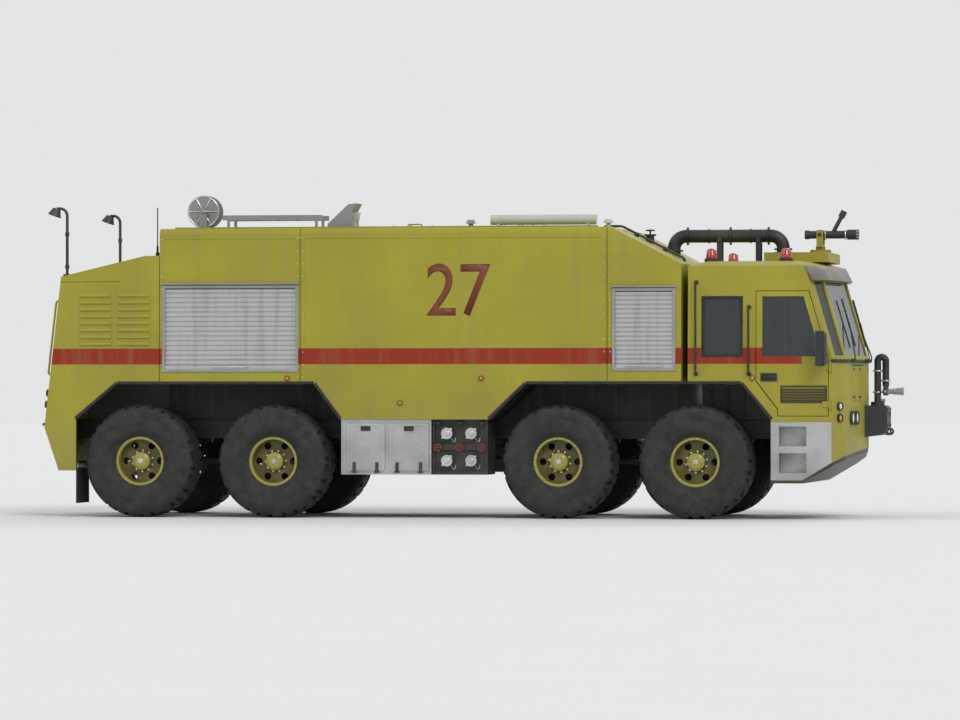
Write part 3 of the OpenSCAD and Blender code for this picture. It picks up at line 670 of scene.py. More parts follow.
looks = {
    "frame_rails": steel, "axles": cast, "engine_block": cast, "engine_house": bandedLime,
    "engine_grille": trim, "locker_body": bandedLime, "tank_body": bandedLime, "pump_body": bandedLime,
    "shutters": slats, "side_boxes": plate, "pump_panels": steel, "mud_flaps": flapRubber,
    # the nose bracket takes the black trim because its face lies in shade: painted shade
    "cab_shell": bandedLime, "cab_glass": glass, "nose_bracket": trim, "skid_plate": steel,
    "roof_pipe": steel, "light_masts": steel, "roof_gear": roofGrey, "tail_gear": trim,
    "roof_turret_base": plainLime, "roof_turret_barrel": steel, "bumper_turret_base": steel,
    "bumper_turret_barrel": grey, "dashboard": trim, "seats": fabric,
}
familyLooks = {"rim_": rimLime, "knuckle_": cast, "tyre_": tyreRubber, "door_glass": glass,
               "door_left": bandedLime, "door_right": bandedLime, "mirror_": trim}
for name, node in nodes.items():
    look = looks.get(name) or next(familyLooks[start] for start in familyLooks if name.startswith(start))
    node.data.materials.clear()
    node.data.materials.append(look)
print("frame painted")

# tyres with a block tread

tiny = 0.0001  # corners closer than this count as one place
tyreLook = {
    "segments": 90, "radius": 0.6875, "treadHalf": 0.18, "face": 0.68, "grooveDepth": 0.024,
    # height of each row of the tread, and the segments it is turned by, so that the blocks slant
    "rows": ((0.0, 1.6), (0.05, 1.0), (-0.05, 1.0), (0.115, 0.4), (-0.115, 0.4)),
    # a groove every third segment, which leads on towards the middle rib; the halves are offset
    "every": 3, "lead": 1.3, "leadWidth": 0.15, "offset": 1.5, "rib": 0.03, "shoulder": 0.655,
    # outer radius and half width of each ring from the tread edge in to the bead
    "rings": ((0.6755, 0.234), (0.6475, 0.274), (0.615, 0.288), (0.5925, 0.294), (0.54, 0.2985),
              (0.52, 0.296), (0.50, 0.296), (0.48, 0.300), (0.42, 0.298), (0.38, 0.288), (0.34, 0.271),
              (0.312, 0.244), (0.3004, 0.240), (0.3004, 0.2138), (0.284, 0.2138)),
}


def inGroove(centre, normal):
    look = tyreLook
    across = abs(centre.z)
    place = math.atan2(centre.y, centre.x) * look["segments"] / (2 * math.pi)
    place += look["lead"] * (1 - min(across, look["leadWidth"]) / look["leadWidth"])
    if centre.z < 0:
        place += look["offset"]
    return centre.xy.length > look["shoulder"] and place % look["every"] < 1 and across > look["rib"]


def makeTyre():
    look = tyreLook
    clearSelection()
    bpy.ops.mesh.primitive_cylinder_add(
        vertices=look["segments"], radius=look["radius"], depth=2 * look["treadHalf"],
        end_fill_type="NOTHING")
    tyre = bpy.context.object
    startEdit(tyre)
    for height, turns in look["rows"]:
        pickAll()
        bpy.ops.mesh.bisect(plane_co=(0, 0, height), plane_no=(0, 0, 1))
    for side in (1, -1):
        radius, half = look["radius"], look["treadHalf"]
        pickParts(tyre, "EDGE", lambda edge: all(abs(v.co.z - side * half) < tiny for v in edge.verts))
        for nextRadius, nextHalf in look["rings"]:
            bpy.ops.mesh.extrude_region()
            bpy.ops.transform.translate(value=(0, 0, side * (nextHalf - half)))
            bpy.ops.transform.resize(value=(nextRadius / radius, nextRadius / radius, 1))
            radius, half = nextRadius, nextHalf
    pickParts(tyre, "EDGE", lambda edge: edge.is_boundary)
    bpy.ops.mesh.bridge_edge_loops()
    for height, turns in look["rows"]:
        pickParts(tyre, "VERT", lambda v: abs(v.co.z - height) < tiny and v.co.xy.length > look["face"])
        bpy.ops.transform.rotate(
            value=-turns * 2 * math.pi / look["segments"], orient_axis="Z", center_override=(0, 0, 0))
    pickFaces(tyre, inGroove)
    bpy.ops.mesh.extrude_region_shrink_fatten(TRANSFORM_OT_shrink_fatten={"value": -look["grooveDepth"]})
    mergeDoubles(2 * tiny)
    faceOutwards()
    endEdit()
    return tyre


def fitToWheels(pattern, turn, label, material, smooth, stands=False):
    # one copy on each wheel, turned a little further each time
    for number in (1, 2, 3, 4):
        for side, sign in (("left", 1), ("right", -1)):
            node = f"tyre_{number}_{side}"
            piece = copyOf(pattern)
            piece.rotation_euler = (math.radians(-90 * sign), math.radians(turn * number), 0)
            piece.location = middleOf(*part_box(node))
            applyPlace(piece)
            finishPiece(piece, f"{label}{number}{side}", material, f"wheel_{number}_{side}",
                        smooth, (node,) if stands else ())
    bpy.data.objects.remove(pattern)


fitToWheels(makeTyre(), 11, "tyreTread", tyreRubber, 35, True)
print("tyres ready")

# places and parts that the pieces share

firstAxle = middleOf(*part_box("tyre_1_left"))[0]
sideY = 1.5  # half the body's width
wall = -sideY  # the body's right side, where most pieces are made
bite = 0.002  # how far trim goes into what carries it
right, up, back, ahead = (0, -1, 0), (0, 0, 1), (-1, 0, 0), (1, 0, 0)


def at(x):
    # lengths along the truck are measured from the first axle
    return firstAxle + x


def boxBetween(corners, bevel, steps=1, move=(0, 0, 0)):
    # a box from its low to its high corner, lengths counted from the first axle
    low, high = (Vector(corner) + Vector(move) for corner in corners)
    return addBox((at(low.x), low.y, low.z), (at(high.x), high.y, high.z), bevel, steps)


def addFrame(x0, x1, z0, z1, y, width, thick, bevel=0.004):
    # a flat picture-frame border on the right side, facing outwards
    obj = addUprightPlane(x0, x1, y, z0, z1)
    startEdit(obj)
    pickAll()
    bpy.ops.mesh.inset(thickness=width)
    bpy.ops.mesh.delete(type="FACE")
    pickAll()
    extrudeFaces((0, -thick, 0))
    faceOutwards()
    pickParts(obj, "EDGE", lambda edge: all(abs(v.co.y - (y - thick)) < tiny for v in edge.verts))
    bevelPicked(bevel)
    endEdit()
    return obj


def addWallBox(x0, x1, z0, z1, proud, bevel, sunk=bite):
    # a box that stands proud of the right side wall
    return addBox((at(x0), wall - proud, z0), (at(x1), wall + sunk, z1), bevel)


def boltRow(points, axis, radius=0.009, height=0.007):
    # six-sided bolt heads, modelled once and copied
    points = [Vector(p) for p in points]
    bolt = addRod(points[0], points[0] + Vector(axis) * height, radius, 6, radius * 0.18)
    rest = [copyOf(bolt, point - points[0]) for point in points[1:]]
    return joinAll([bolt] + rest, "boltRow")


def spread(start, end, count):
    start, end = Vector(start), Vector(end)
    return [start.lerp(end, i / (count - 1)) for i in range(count)]


def addHandle(start, end, out, bend, radius):
    # a bar that stands off by the out vector, bent back to its two feet
    start, end, out = Vector(start), Vector(end), Vector(out)
    return addPipe([start, start + out, end + out, end], bend, radius)


def addLamp(place, direction, radius, depth, bezel=0.012):
    # a round lamp: the rim, and the domed lens inside it
    place, direction = Vector(place), Vector(direction).normalized()
    rim = addRod(place, place + direction * depth, radius, 32)
    stepFaces(rim, direction, ((bezel, -depth * 0.5),))
    roundEdges(rim, lambda edge: isSharp(edge) and
               all((v.co - place).dot(direction) > depth * 0.9 for v in edge.verts), 0.003)
    clearSelection()
    seat, inside = place + direction * depth * 0.5, radius - bezel
    bpy.ops.mesh.primitive_uv_sphere_add(
        segments=24, ring_count=12, radius=inside, location=seat, rotation=turnTo(direction))
    lens = bpy.context.object
    lens.scale = (1, 1, min(0.4, 0.5 * depth / inside))
    applyPlace(lens)
    startEdit(lens)
    pickAll()
    bpy.ops.mesh.bisect(plane_co=seat, plane_no=direction, clear_inner=True, use_fill=True)
    endEdit()
    return rim, lens


def fitLamps(lamps, rimName, lensFinish):
    # lamps on the right side and their mirror images, the lenses grouped by color
    rims, lenses = [], {color: [] for color in lensFinish}
    for color, place, direction, radius, depth, bezel in lamps:
        rim, lens = addLamp(place, direction, radius, depth, bezel)
        rims.append(rim)
        lenses[color].append(lens)
    finishPiece(rims, rimName, trim, smooth=35, paired=True)
    for color, (name, material) in lensFinish.items():
        finishPiece(lenses[color], name, material, smooth=50, paired=True)


# wheel nuts, clamp ring bolts and hub caps

nutLook = {
    # count, radius of the circle, height on the wheel, radius and thickness: wheel nuts, clamp ring, hub
    "rows": ((10, 0.127, 0.066, 0.0145, 0.022), (20, 0.2845, 0.228, 0.0085, 0.008),
             (6, 0.048, 0.195, 0.008, 0.008)),
    "capLow": 0.195, "capHigh": 0.207, "capRadius": 0.034,
    "valve": ((0.24, 0.03, 0.05), (0.25, 0.03, 0.10), (0.262, 0.03, 0.19)), "valveRadius": 0.005,
}


def makeNuts():
    look = nutLook
    parts = []
    for count, circle, low, radius, height in look["rows"]:
        nut = addRod((circle, 0, low), (circle, 0, low + height), radius, 6, 0.002)
        spinCopies(nut, count, (0, 0, 0), up)
        startEdit(nut)
        mergeDoubles(tiny)
        endEdit()
        parts.append(nut)
    parts.append(addRod((0, 0, look["capLow"]), (0, 0, look["capHigh"]), look["capRadius"], 24, 0.005))
    parts.append(addPipe(look["valve"], 0.02, look["valveRadius"]))
    return joinAll(parts, "nuts")


fitToWheels(makeNuts(), 23, "wheelNuts", bright, 30)
print("wheels ready")

# plain fleet numerals on both sides of the tank

numeralLook = {"digits": "27", "middle": -2.88, "low": 2.45, "high": 3.09, "width": 0.78,
               "thick": 0.003, "swell": 0.004}


def addNumerals(sign):
    look = numeralLook
    clearSelection()
    bpy.ops.object.text_add(location=(0, 0, 0))
    text = bpy.context.object
    text.data.body = look["digits"]
    text.data.align_x = "CENTER"
    text.data.size = 1.0
    text.data.offset = look["swell"]
    bpy.ops.object.convert(target="MESH")
    numerals = bpy.context.object
    across = [corner[0] for corner in numerals.bound_box]
    upward = [corner[1] for corner in numerals.bound_box]
    startEdit(numerals)
    mergeDoubles(0.0005)
    bpy.ops.transform.translate(value=(-(max(across) + min(across)) / 2, -min(upward), 0))
    pickAll()
    extrudeFaces((0, 0, look["thick"]))
    faceOutwards()
    endEdit()
    wide, tall = max(across) - min(across), max(upward) - min(upward)
    numerals.scale = (look["width"] / wide, (look["high"] - look["low"]) / tall, 1)
    applyPlace(numerals)
    numerals.rotation_euler = (math.pi / 2, 0, 0 if sign < 0 else math.pi)
    numerals.location = (at(look["middle"]), sign * sideY, look["low"])
    applyPlace(numerals)
    return numerals


finishPiece(addNumerals(-1), "numeralsRight", ink)
finishPiece(addNumerals(1), "numeralsLeft", ink)
print("numerals ready")

# shutter borders, handles and drip rails

shutterLook = {
    "rear": (-6.53, -4.90, 1.81, 2.80), "front": (-0.965, -0.265, 1.82, 2.75),
    "border": 0.035, "thick": 0.012,
    "railReach": 0.05, "railProud": 0.035, "railGap": 0.01, "railTall": 0.018,
    "handleHalf": 0.22, "handleUp": 0.03, "handleOut": 0.04, "handleRadius": 0.009, "keeperHalf": 0.05,
}


def addShutterTrim():
    look = shutterLook
    frames, handles = [], []
    for x0, x1, z0, z1 in (look["rear"], look["front"]):
        edge, reach, half = look["border"], look["railReach"], look["handleHalf"]
        frames.append(addFrame(at(x0) - edge, at(x1) + edge, z0 - edge, z1 + edge, wall, edge, look["thick"]))
        rail = z1 + edge + look["railGap"]
        top = rail + look["railTall"]
        frames.append(addWallBox(x0 - reach, x1 + reach, rail, top, look["railProud"], 0.004))
        middle, y, z = at((x0 + x1) / 2), wall + look["thick"], z0 + look["handleUp"]
        handles.append(addHandle((middle - half, y, z), (middle + half, y, z), (0, -look["handleOut"], 0),
                                 0.02, look["handleRadius"]))
        handles.append(addBox((middle - look["keeperHalf"], y - 0.006, z0 + 0.005),
                              (middle + look["keeperHalf"], y + 0.004, z0 + 0.026), 0.003))
    finishPiece(frames, "shutterBorders", grey, smooth=30, paired=True)
    finishPiece(handles, "shutterHandles", bright, smooth=40, paired=True)


addShutterTrim()

# tread plate skirts of the cab, with the step pockets left open

skirtLook = {
    "rear": 0.925, "front": 1.655, "low": 0.475, "high": 1.17, "thick": 0.005,
    "pockets": ((1.0225, 1.3525, 0.56, 0.80), (1.0225, 1.3525, 0.88, 1.12)),
    "undercut": (1.30, 0.476), "undercutSlope": 0.596,
}


def inPocket(centre, normal):
    return any(at(x0) < centre.x < at(x1) and z0 < centre.z < z1 for x0, x1, z0, z1 in skirtLook["pockets"])


def addSkirt():
    look = skirtLook
    skirt = addUprightPlane(at(look["rear"]), at(look["front"]), wall, look["low"], look["high"])
    startEdit(skirt)
    for x0, x1, z0, z1 in look["pockets"]:
        cuts = [((at(x), 0, 0), ahead) for x in (x0, x1)] + [((0, 0, z), up) for z in (z0, z1)]
        for place, normal in cuts:
            pickAll()
            bpy.ops.mesh.bisect(plane_co=place, plane_no=normal)
    pickFaces(skirt, inPocket)
    bpy.ops.mesh.delete(type="FACE")
    x, z = look["undercut"]
    pickAll()
    bpy.ops.mesh.bisect(plane_co=(at(x), 0, z), plane_no=(look["undercutSlope"], 0, -1), clear_outer=True)
    mergeDoubles(2 * tiny)
    pickAll()
    extrudeFaces((0, -look["thick"], 0))
    faceOutwards()
    endEdit()
    return skirt


finishPiece(addSkirt(), "cabSkirts", plate, paired=True)

stepLook = {"inner": -1.311, "sheet": 0.003, "ribs": 5, "ribPitch": 0.028, "ribWide": 0.010,
            "ribTall": 0.008, "edge": 0.012}


def addStepLiners():
    # sheet metal trays with grip ribs that line the two boarding steps
    look = stepLook
    trays = []
    for x0, x1, z0, z1 in skirtLook["pockets"]:
        tray = addBox((at(x0), wall + 0.001, z0), (at(x1), look["inner"], z1))
        startEdit(tray)
        pickFaces(tray, lambda centre, normal: normal.y < -0.95)
        bpy.ops.mesh.delete(type="FACE")
        faceOutwards()
        endEdit()
        sheet = tray.modifiers.new("sheet", "SOLIDIFY")
        sheet.thickness = look["sheet"]
        sheet.offset = -1
        applyModifier(tray, "sheet")
        trays.append(tray)
        for i in range(look["ribs"]):
            y = wall + look["edge"] + look["ribPitch"] * i
            trays.append(addBox((at(x0) + look["edge"], y, z0 + bite),
                                (at(x1) - look["edge"], y + look["ribWide"], z0 + look["ribTall"]), 0.002))
    return trays


finishPiece(addStepLiners(), "stepLiners", plate, paired=True)

# front of the cab: visor, wipers, lamps, grab rails

cabPlan = {"corner": (1.66, 1.5), "quarter": (1.80, 1.2), "nose": (1.95, 0.0), "rake": 0.32, "lean": 0.04,
           "belt": 1.93, "roof": 3.05}
noseSlope = (cabPlan["nose"][0] - cabPlan["quarter"][0]) / cabPlan["quarter"][1]


def noseX(y):
    # the cab's front at a distance from the middle, below the windscreen
    return at(cabPlan["nose"][0] - noseSlope * abs(y))


def aboveBelt(z):
    # how far up the windscreen a height is, from 0 at the belt line to 1 at the roof
    return max(0.0, (z - cabPlan["belt"]) / (cabPlan["roof"] - cabPlan["belt"]))


def leanIn(z):
    # how far the cab's side leans in at a height
    return cabPlan["lean"] * aboveBelt(z)


def planPoint(name, z, out, sign):
    # a corner of the cab's front at height z, moved out by a little
    x, y = cabPlan[name]
    return Vector((at(x - cabPlan["rake"] * aboveBelt(z) + out), sign * (y - leanIn(z) + 0.4 * out), z))


def frontPath(z, out):
    # right corner, middle and left corner of the cab's front
    stops = (("corner", -1), ("quarter", -1), ("nose", -1), ("quarter", 1), ("corner", 1))
    return [planPoint(name, z, out, sign) for name, sign in stops]


def sweepFront(zLow, zHigh, outLow, outHigh, thick):
    # a plane stood on edge and extruded round the front of the cab
    clearSelection()
    bpy.ops.mesh.primitive_plane_add(size=1, rotation=(math.pi / 2, 0, 0))
    obj = bpy.context.object
    applyPlace(obj)
    inwards = Vector((thick, 0, 0))
    startEdit(obj)
    for i, (low, high) in enumerate(zip(frontPath(zLow, outLow), frontPath(zHigh, outHigh))):
        if i:
            bpy.ops.mesh.extrude_region()
        mesh = bmesh.from_edit_mesh(obj.data)
        corners = sorted((v for v in mesh.verts if v.select), key=lambda v: (round(v.co.z, 4), v.co.x))
        for vert, place in zip(corners, (low - inwards, low, high - inwards, high)):
            vert.co = place
        bmesh.update_edit_mesh(obj.data)
    faceOutwards()
    bevelPicked(0.006)
    endEdit()
    return obj


finishPiece(sweepFront(2.875, 3.045, 0.075, 0.035, 0.05), "sunVisor", visorGrey, smooth=35)
finishPiece(sweepFront(1.885, 1.925, 0.018, 0.018, 0.03), "windscreenSill", trim, smooth=35)

wiperLook = {
    "places": (-0.95, -0.2, 0.62), "rootHeight": 1.905, "rootStand": 0.02, "footRadius": 0.022,
    "tipShift": (0, 0.34, 0.47), "tipStand": 0.028, "armRadius": 0.008,
    "bladeHalf": 0.3, "bladeRadius": 0.011, "bladeLean": (-0.2145, 0, 0.75), "bladeSink": (0.008, 0, 0),
}


def addWipers():
    look = wiperLook
    parts = []
    for y in look["places"]:
        root = Vector((noseX(y) + look["rootStand"], y, look["rootHeight"]))
        tip = root + Vector(look["tipShift"])
        tip.x = noseX(tip.y) - cabPlan["rake"] * aboveBelt(tip.z) + look["tipStand"]
        foot, top = root - Vector((0.03, 0, 0)), root + Vector((0.03, 0, 0.012))
        parts.append(addRod(foot, top, look["footRadius"], 16, 0.004))
        bends = [root + Vector((0.03, 0, 0.01)), root + Vector((0.03, 0.02, 0.06)), tip]
        parts.append(addPipe(bends, 0.02, look["armRadius"]))
        along = Vector(look["bladeLean"]).normalized() * look["bladeHalf"]
        middle = tip - Vector(look["bladeSink"])
        parts.append(addRod(middle - along, middle + along, look["bladeRadius"], 8, 0.003))
    return parts


finishPiece(addWipers(), "wipers", trim, smooth=40)

headlampLook = {
    "headlamps": (-0.72, -0.94), "headlampZ": 1.22, "headlampSize": (0.085, 0.045, 0.012),
    "headlampSink": 0.008, "cornerPlace": (1.724, -1.35), "cornerFacing": (0.906, -0.423, 0),
    "cornerSize": (0.05, 0.04, 0.008), "corners": (("amber", 1.22), ("white", 1.36)),
    "markers": ((0.70, 1.70), (-5.0, 1.70), (-3.6, 1.40), (-2.6, 1.70)), "markerSize": (0.03, 0.022, 0.006),
}


def addHeadlamps():
    look = headlampLook
    lamps = []
    for y in look["headlamps"]:
        place = (noseX(y) - look["headlampSink"], y, look["headlampZ"])
        lamps.append(("white", place, (1, -noseSlope, 0), *look["headlampSize"]))
    x, y = look["cornerPlace"]
    for color, z in look["corners"]:
        lamps.append((color, (at(x), y, z), look["cornerFacing"], *look["cornerSize"]))
    lamps += [("amber", (at(x), wall + bite, z), right, *look["markerSize"]) for x, z in look["markers"]]
    fitLamps(lamps, "lampRims", {"white": ("headlampLenses", whiteLens),
                                 "amber": ("markerLenses", amberLens)})


addHeadlamps()

beaconLook = {
    "places": ((1.05, 1.0), (0.15, 1.05)), "roof": 3.105, "baseRadius": 0.085, "baseTall": 0.045,
    "domeLow": 0.05, "domeHigh": 0.14, "domeRadius": 0.068, "domeTop": 0.058,
    # inset and rise of each ring on the dome's top
    "crown": ((0.012, 0.014), (0.016, 0.008), (0.02, 0.004)),
}


def addBeacons():
    look = beaconLook
    bases, domes = [], []
    for x, y in look["places"]:
        foot = Vector((at(x), -y, look["roof"]))
        base = addRod(foot, foot + Vector((0, 0, look["baseTall"])), look["baseRadius"], 32, 0.008)
        stepFaces(base, up, ((0.015, 0.012),))
        bases.append(base)
        dome = addRod(foot + Vector((0, 0, look["domeLow"])), foot + Vector((0, 0, look["domeHigh"])),
                      look["domeRadius"], 32, 0.0, look["domeTop"])
        stepFaces(dome, up, look["crown"], sloped=True)
        domes.append(dome)
    finishPiece(bases, "beaconBases", trim, smooth=35, paired=True)
    finishPiece(domes, "beaconDomes", redLens, smooth=45, paired=True)


addBeacons()

grabLook = {"rails": ((0.02, 1.75, 2.85), (0.66, 1.75, 2.55)), "out": 0.06, "radius": 0.014, "flange": 0.028}


def addGrabRails():
    look = grabLook
    parts = []
    for x, z0, z1 in look["rails"]:
        corners = [(at(x), wall + 0.004, z0), (at(x), wall - look["out"], z0),
                   (at(x), wall - look["out"], z1), (at(x), wall + 0.03, z1)]
        parts.append(addPipe(corners, 0.03, look["radius"]))
        for z in (z0, z1):
            y = wall + leanIn(z)
            parts.append(addRod((at(x), y + 0.01, z), (at(x), y - 0.008, z), look["flange"], 20, 0.003))
    return parts


finishPiece(addGrabRails(), "grabRails", trim, smooth=45, paired=True)

doorLook = {
    "dish": ((0.80, -1.512, 1.66), (1.00, -1.496, 1.76)),
    "lever": (0.82, 0.97, 1.71), "leverOut": 0.03, "leverRadius": 0.009,
    "vent": (1.04, 1.60, 1.40, 1.61), "bar": (1.055, 1.585, 1.425, 1.440), "bars": 5, "barPitch": 0.032,
}


def addDoorTrim(side):
    # handle with its dish, and the vent's bars in their rim
    look = doorLook
    dish = boxBetween(look["dish"], 0.006, 2)
    stepFaces(dish, right, ((0.012, -0.008),))
    x0, x1, z = look["lever"]
    out = wall - look["leverOut"]
    lever = addPipe([(at(x0), wall, z), (at(x0), out, z), (at(x1), out, z)], 0.015, look["leverRadius"])
    x0, x1, z0, z1 = look["vent"]
    rim = addFrame(at(x0), at(x1), z0, z1, wall, 0.014, 0.006, 0.002)
    x0, x1, z0, z1 = look["bar"]
    rises = [look["barPitch"] * i for i in range(look["bars"])]
    bars = [addWallBox(x0, x1, z0 + rise, z1 + rise, 0.004, 0.002, 0.008) for rise in rises]
    piece = onSide(joinAll([dish, lever, rim] + bars, "doorTrim"), side)
    finishPiece(piece, f"doorTrim{side.capitalize()}", trim, f"door_{side}", 35)


addDoorTrim("left")
addDoorTrim("right")
print("cab ready")

# tank and locker body: arch lips, seams, bolts, hatches, walkways

roofZ = 3.53
archLook = {
    "front": ((-2.5025, 1.20), (-2.0525, 1.63), (0.5625, 1.63), (0.9225, 1.20)),
    "rear": ((-7.6495, 1.20), (-7.1295, 1.63), (-4.6725, 1.63), (-4.3525, 1.20)),
    "under": 0.004, "over": 0.032, "thick": 0.012,
}


def addArchLip(points):
    # rubber lip that follows the edge of a wheel arch
    look = archLook
    strips = []
    for (x0, z0), (x1, z1) in zip(points, points[1:]):
        start, end = Vector((at(x0), wall + bite, z0)), Vector((at(x1), wall + bite, z1))
        along = (end - start).normalized()
        outwards = Vector((-along.z, 0, along.x))
        inner, outer = outwards * -look["under"], outwards * look["over"]
        clearSelection()
        bpy.ops.mesh.primitive_plane_add(size=1)
        strip = bpy.context.object
        startEdit(strip)
        mesh = bmesh.from_edit_mesh(strip.data)
        corners = sorted(mesh.verts, key=lambda v: math.atan2(v.co.y, v.co.x))
        for vert, place in zip(corners, (start + inner, end + inner, end + outer, start + outer)):
            vert.co = place
        bmesh.update_edit_mesh(strip.data)
        pickAll()
        extrudeFaces((0, -look["thick"], 0))
        faceOutwards()
        bevelPicked(0.003, 1)
        endEdit()
        strips.append(strip)
    return strips


archLips = addArchLip(archLook["front"]) + addArchLip(archLook["rear"])
finishPiece(archLips, "archLips", flapRubber, smooth=30, paired=True)

seamLook = {
    "strips": (-6.565, -4.875, -4.805, -1.095, -1.025), "half": 0.014, "proud": 0.004,
    "low": 1.66, "high": 3.44,
    "bolts": 12, "boltLow": 1.71, "boltHigh": 3.40, "boltRadius": 0.008, "boltTall": 0.005,
    "roofStrip": (-6.58, -1.10, 3.40, 3.435), "roofProud": 0.006,
}


def addSeamTrim():
    # screwed cover strips beside the section joints and along the roof edge
    look = seamLook
    strips, bolts = [], []
    for x in look["strips"]:
        rear, front = x - look["half"], x + look["half"]
        strips.append(addWallBox(rear, front, look["low"], look["high"], look["proud"], 0.002))
        y = wall - look["proud"]
        bolts += spread((at(x), y, look["boltLow"]), (at(x), y, look["boltHigh"]), look["bolts"])
    strips.append(addWallBox(*look["roofStrip"], look["roofProud"], 0.003))
    finishPiece(strips, "seamStrips", bandedLime, smooth=30, paired=True)
    bolts = boltRow(bolts, right, look["boltRadius"], look["boltTall"])
    finishPiece(bolts, "seamBolts", bright, paired=True)


addSeamTrim()

hatchLook = {
    "places": (-3.7, -2.3), "radius": 0.262, "tall": 0.045, "steps": ((0.03, -0.018), (0.09, 0.016)),
    "handleHalf": 0.09, "handleTall": 0.045, "handleRadius": 0.009, "hingeHalf": 0.10, "hingeY": 0.30,
    "clamps": 6, "clampCircle": 0.285, "studRadius": 0.012, "studTall": 0.07, "nutRadius": 0.024,
}


def addHatch(x):
    # round filler lid with a raised rim, a handle, clamp screws and a hinge
    look = hatchLook
    x = at(x)
    lid = addRod((x, 0, roofZ - 0.006), (x, 0, roofZ + look["tall"]), look["radius"], 48)
    stepFaces(lid, up, look["steps"])
    roundEdges(lid, lambda edge: isSharp(edge) and edge.verts[0].co.z > roofZ, 0.005)
    rear, front = (Vector((x + look["handleHalf"] * side, 0, roofZ + 0.04)) for side in (-1, 1))
    parts = [lid, addHandle(rear, front, (0, 0, look["handleTall"]), 0.025, look["handleRadius"])]
    for foot in ringOf((x, 0, roofZ - 0.005), look["clampCircle"], look["clamps"], 30):
        parts.append(addRod(foot, foot + Vector((0, 0, look["studTall"])), look["studRadius"], 12, 0.002))
        nut, top = foot + Vector((0, 0, 0.04)), foot + Vector((0, 0, 0.058))
        parts.append(addRod(nut, top, look["nutRadius"], 6, 0.003))
    parts.append(addRod((x - look["hingeHalf"], look["hingeY"], roofZ + 0.02),
                        (x + look["hingeHalf"], look["hingeY"], roofZ + 0.02), 0.018, 16, 0.003))
    return parts


finishPiece([part for x in hatchLook["places"] for part in addHatch(x)], "roofHatches", plainLime,
            smooth=35)

walkLook = {
    "sheets": ((-6.5, -4.95), (-4.7, -4.1), (-1.9, -1.15)), "inner": 0.45, "outer": 1.25, "thick": 0.006,
    "ribPitch": 0.1, "ribStart": 0.04, "ribWide": 0.015, "ribTall": 0.011, "ribShort": 0.02,
    "rail": ((-6.45, -0.006, 3.526), (-1.2, 0.006, 3.552)), "railY": (-1.30, 1.30), "sink": 0.004,
}


def addRoofWalk():
    # ribbed walkway sheets and low edge rails on the roof
    look = walkLook
    low, high = roofZ - look["sink"], roofZ + look["thick"]
    walks = []
    for x0, x1 in look["sheets"]:
        walks.append(addBox((at(x0), look["inner"], low), (at(x1), look["outer"], high), 0.002))
        x = at(x0) + look["ribStart"]
        rib = addBox((x, look["inner"] + look["ribShort"], roofZ + 0.004),
                     (x + look["ribWide"], look["outer"] - look["ribShort"], roofZ + look["ribTall"]), 0.002)
        walks += copyRow(rib, (look["ribPitch"], 0, 0), int((x1 - x0) / look["ribPitch"]))
    rails = [boxBetween(look["rail"], 0.003, move=(0, y, 0)) for y in look["railY"]]
    finishPiece(walks, "roofWalkways", roofPlate)
    finishPiece(rails, "roofRails", plainLime, smooth=40)


addRoofWalk()
print("body ready")

# side boxes and pump panels

boxLook = {
    "lids": (((-4.27, -1.494, 0.575), (-3.79, -1.478, 1.155)),
             ((-3.74, -1.494, 0.575), (-3.25, -1.478, 1.155))),
    "latch": ((-0.06, -1.504, 1.06), (0.06, -1.484, 1.12)),
    "strap": ((-0.02, -1.502, 0.56), (0.02, -1.49, 0.68)),
    "hingeIn": 0.1, "hingeHalf": 0.03, "hingePlace": (-1.50, 0.565),
}


def addBoxLids():
    # lids with rolled edges, paddle latches and strap hinges on the silver boxes
    look = boxLook
    y, z = look["hingePlace"]
    lids, latches = [], []
    for corners in look["lids"]:
        lid = boxBetween(corners, 0.005)
        stepFaces(lid, right, ((0.03, -0.006),))
        lids.append(lid)
        x0, x1 = (corner[0] for corner in corners)
        latch = boxBetween(look["latch"], 0.005, move=((x0 + x1) / 2, 0, 0))
        stepFaces(latch, right, ((0.012, -0.008),))
        latches.append(latch)
        for x in (x0 + look["hingeIn"], x1 - look["hingeIn"]):
            latches.append(boxBetween(look["strap"], 0.004, move=(x, 0, 0)))
            latches.append(addRod((at(x - look["hingeHalf"]), y, z), (at(x + look["hingeHalf"]), y, z),
                                  0.012, 12, 0.002))
    finishPiece(lids, "boxLids", plate, smooth=30, paired=True)
    finishPiece(latches, "boxLatches", trim, smooth=35, paired=True)


addBoxLids()

outletLook = {
    "columns": (-3.0203, -2.7222), "rows": (0.70, 1.03), "face": -1.51, "radius": 0.070, "proud": 0.022,
    "steps": ((0.014, -0.008), (0.022, 0.016)), "lugs": (45, 225), "lugReach": 0.088, "lugRadius": 0.014,
    "tether": ((0.05, -0.01, -0.055), (0.085, 0.03, -0.12), (0.10, 0.055, -0.05)), "tetherRadius": 0.004,
    "valves": (-3.14, -2.87, -2.60), "valvePlace": (-1.44, 0.86), "stem": (0, 0.05, 0), "wheelRadius": 0.042,
    "spokes": (0, 60, 120), "gaugeUp": 0.295, "gaugeSize": (0.036, 0.024, 0.006),
}


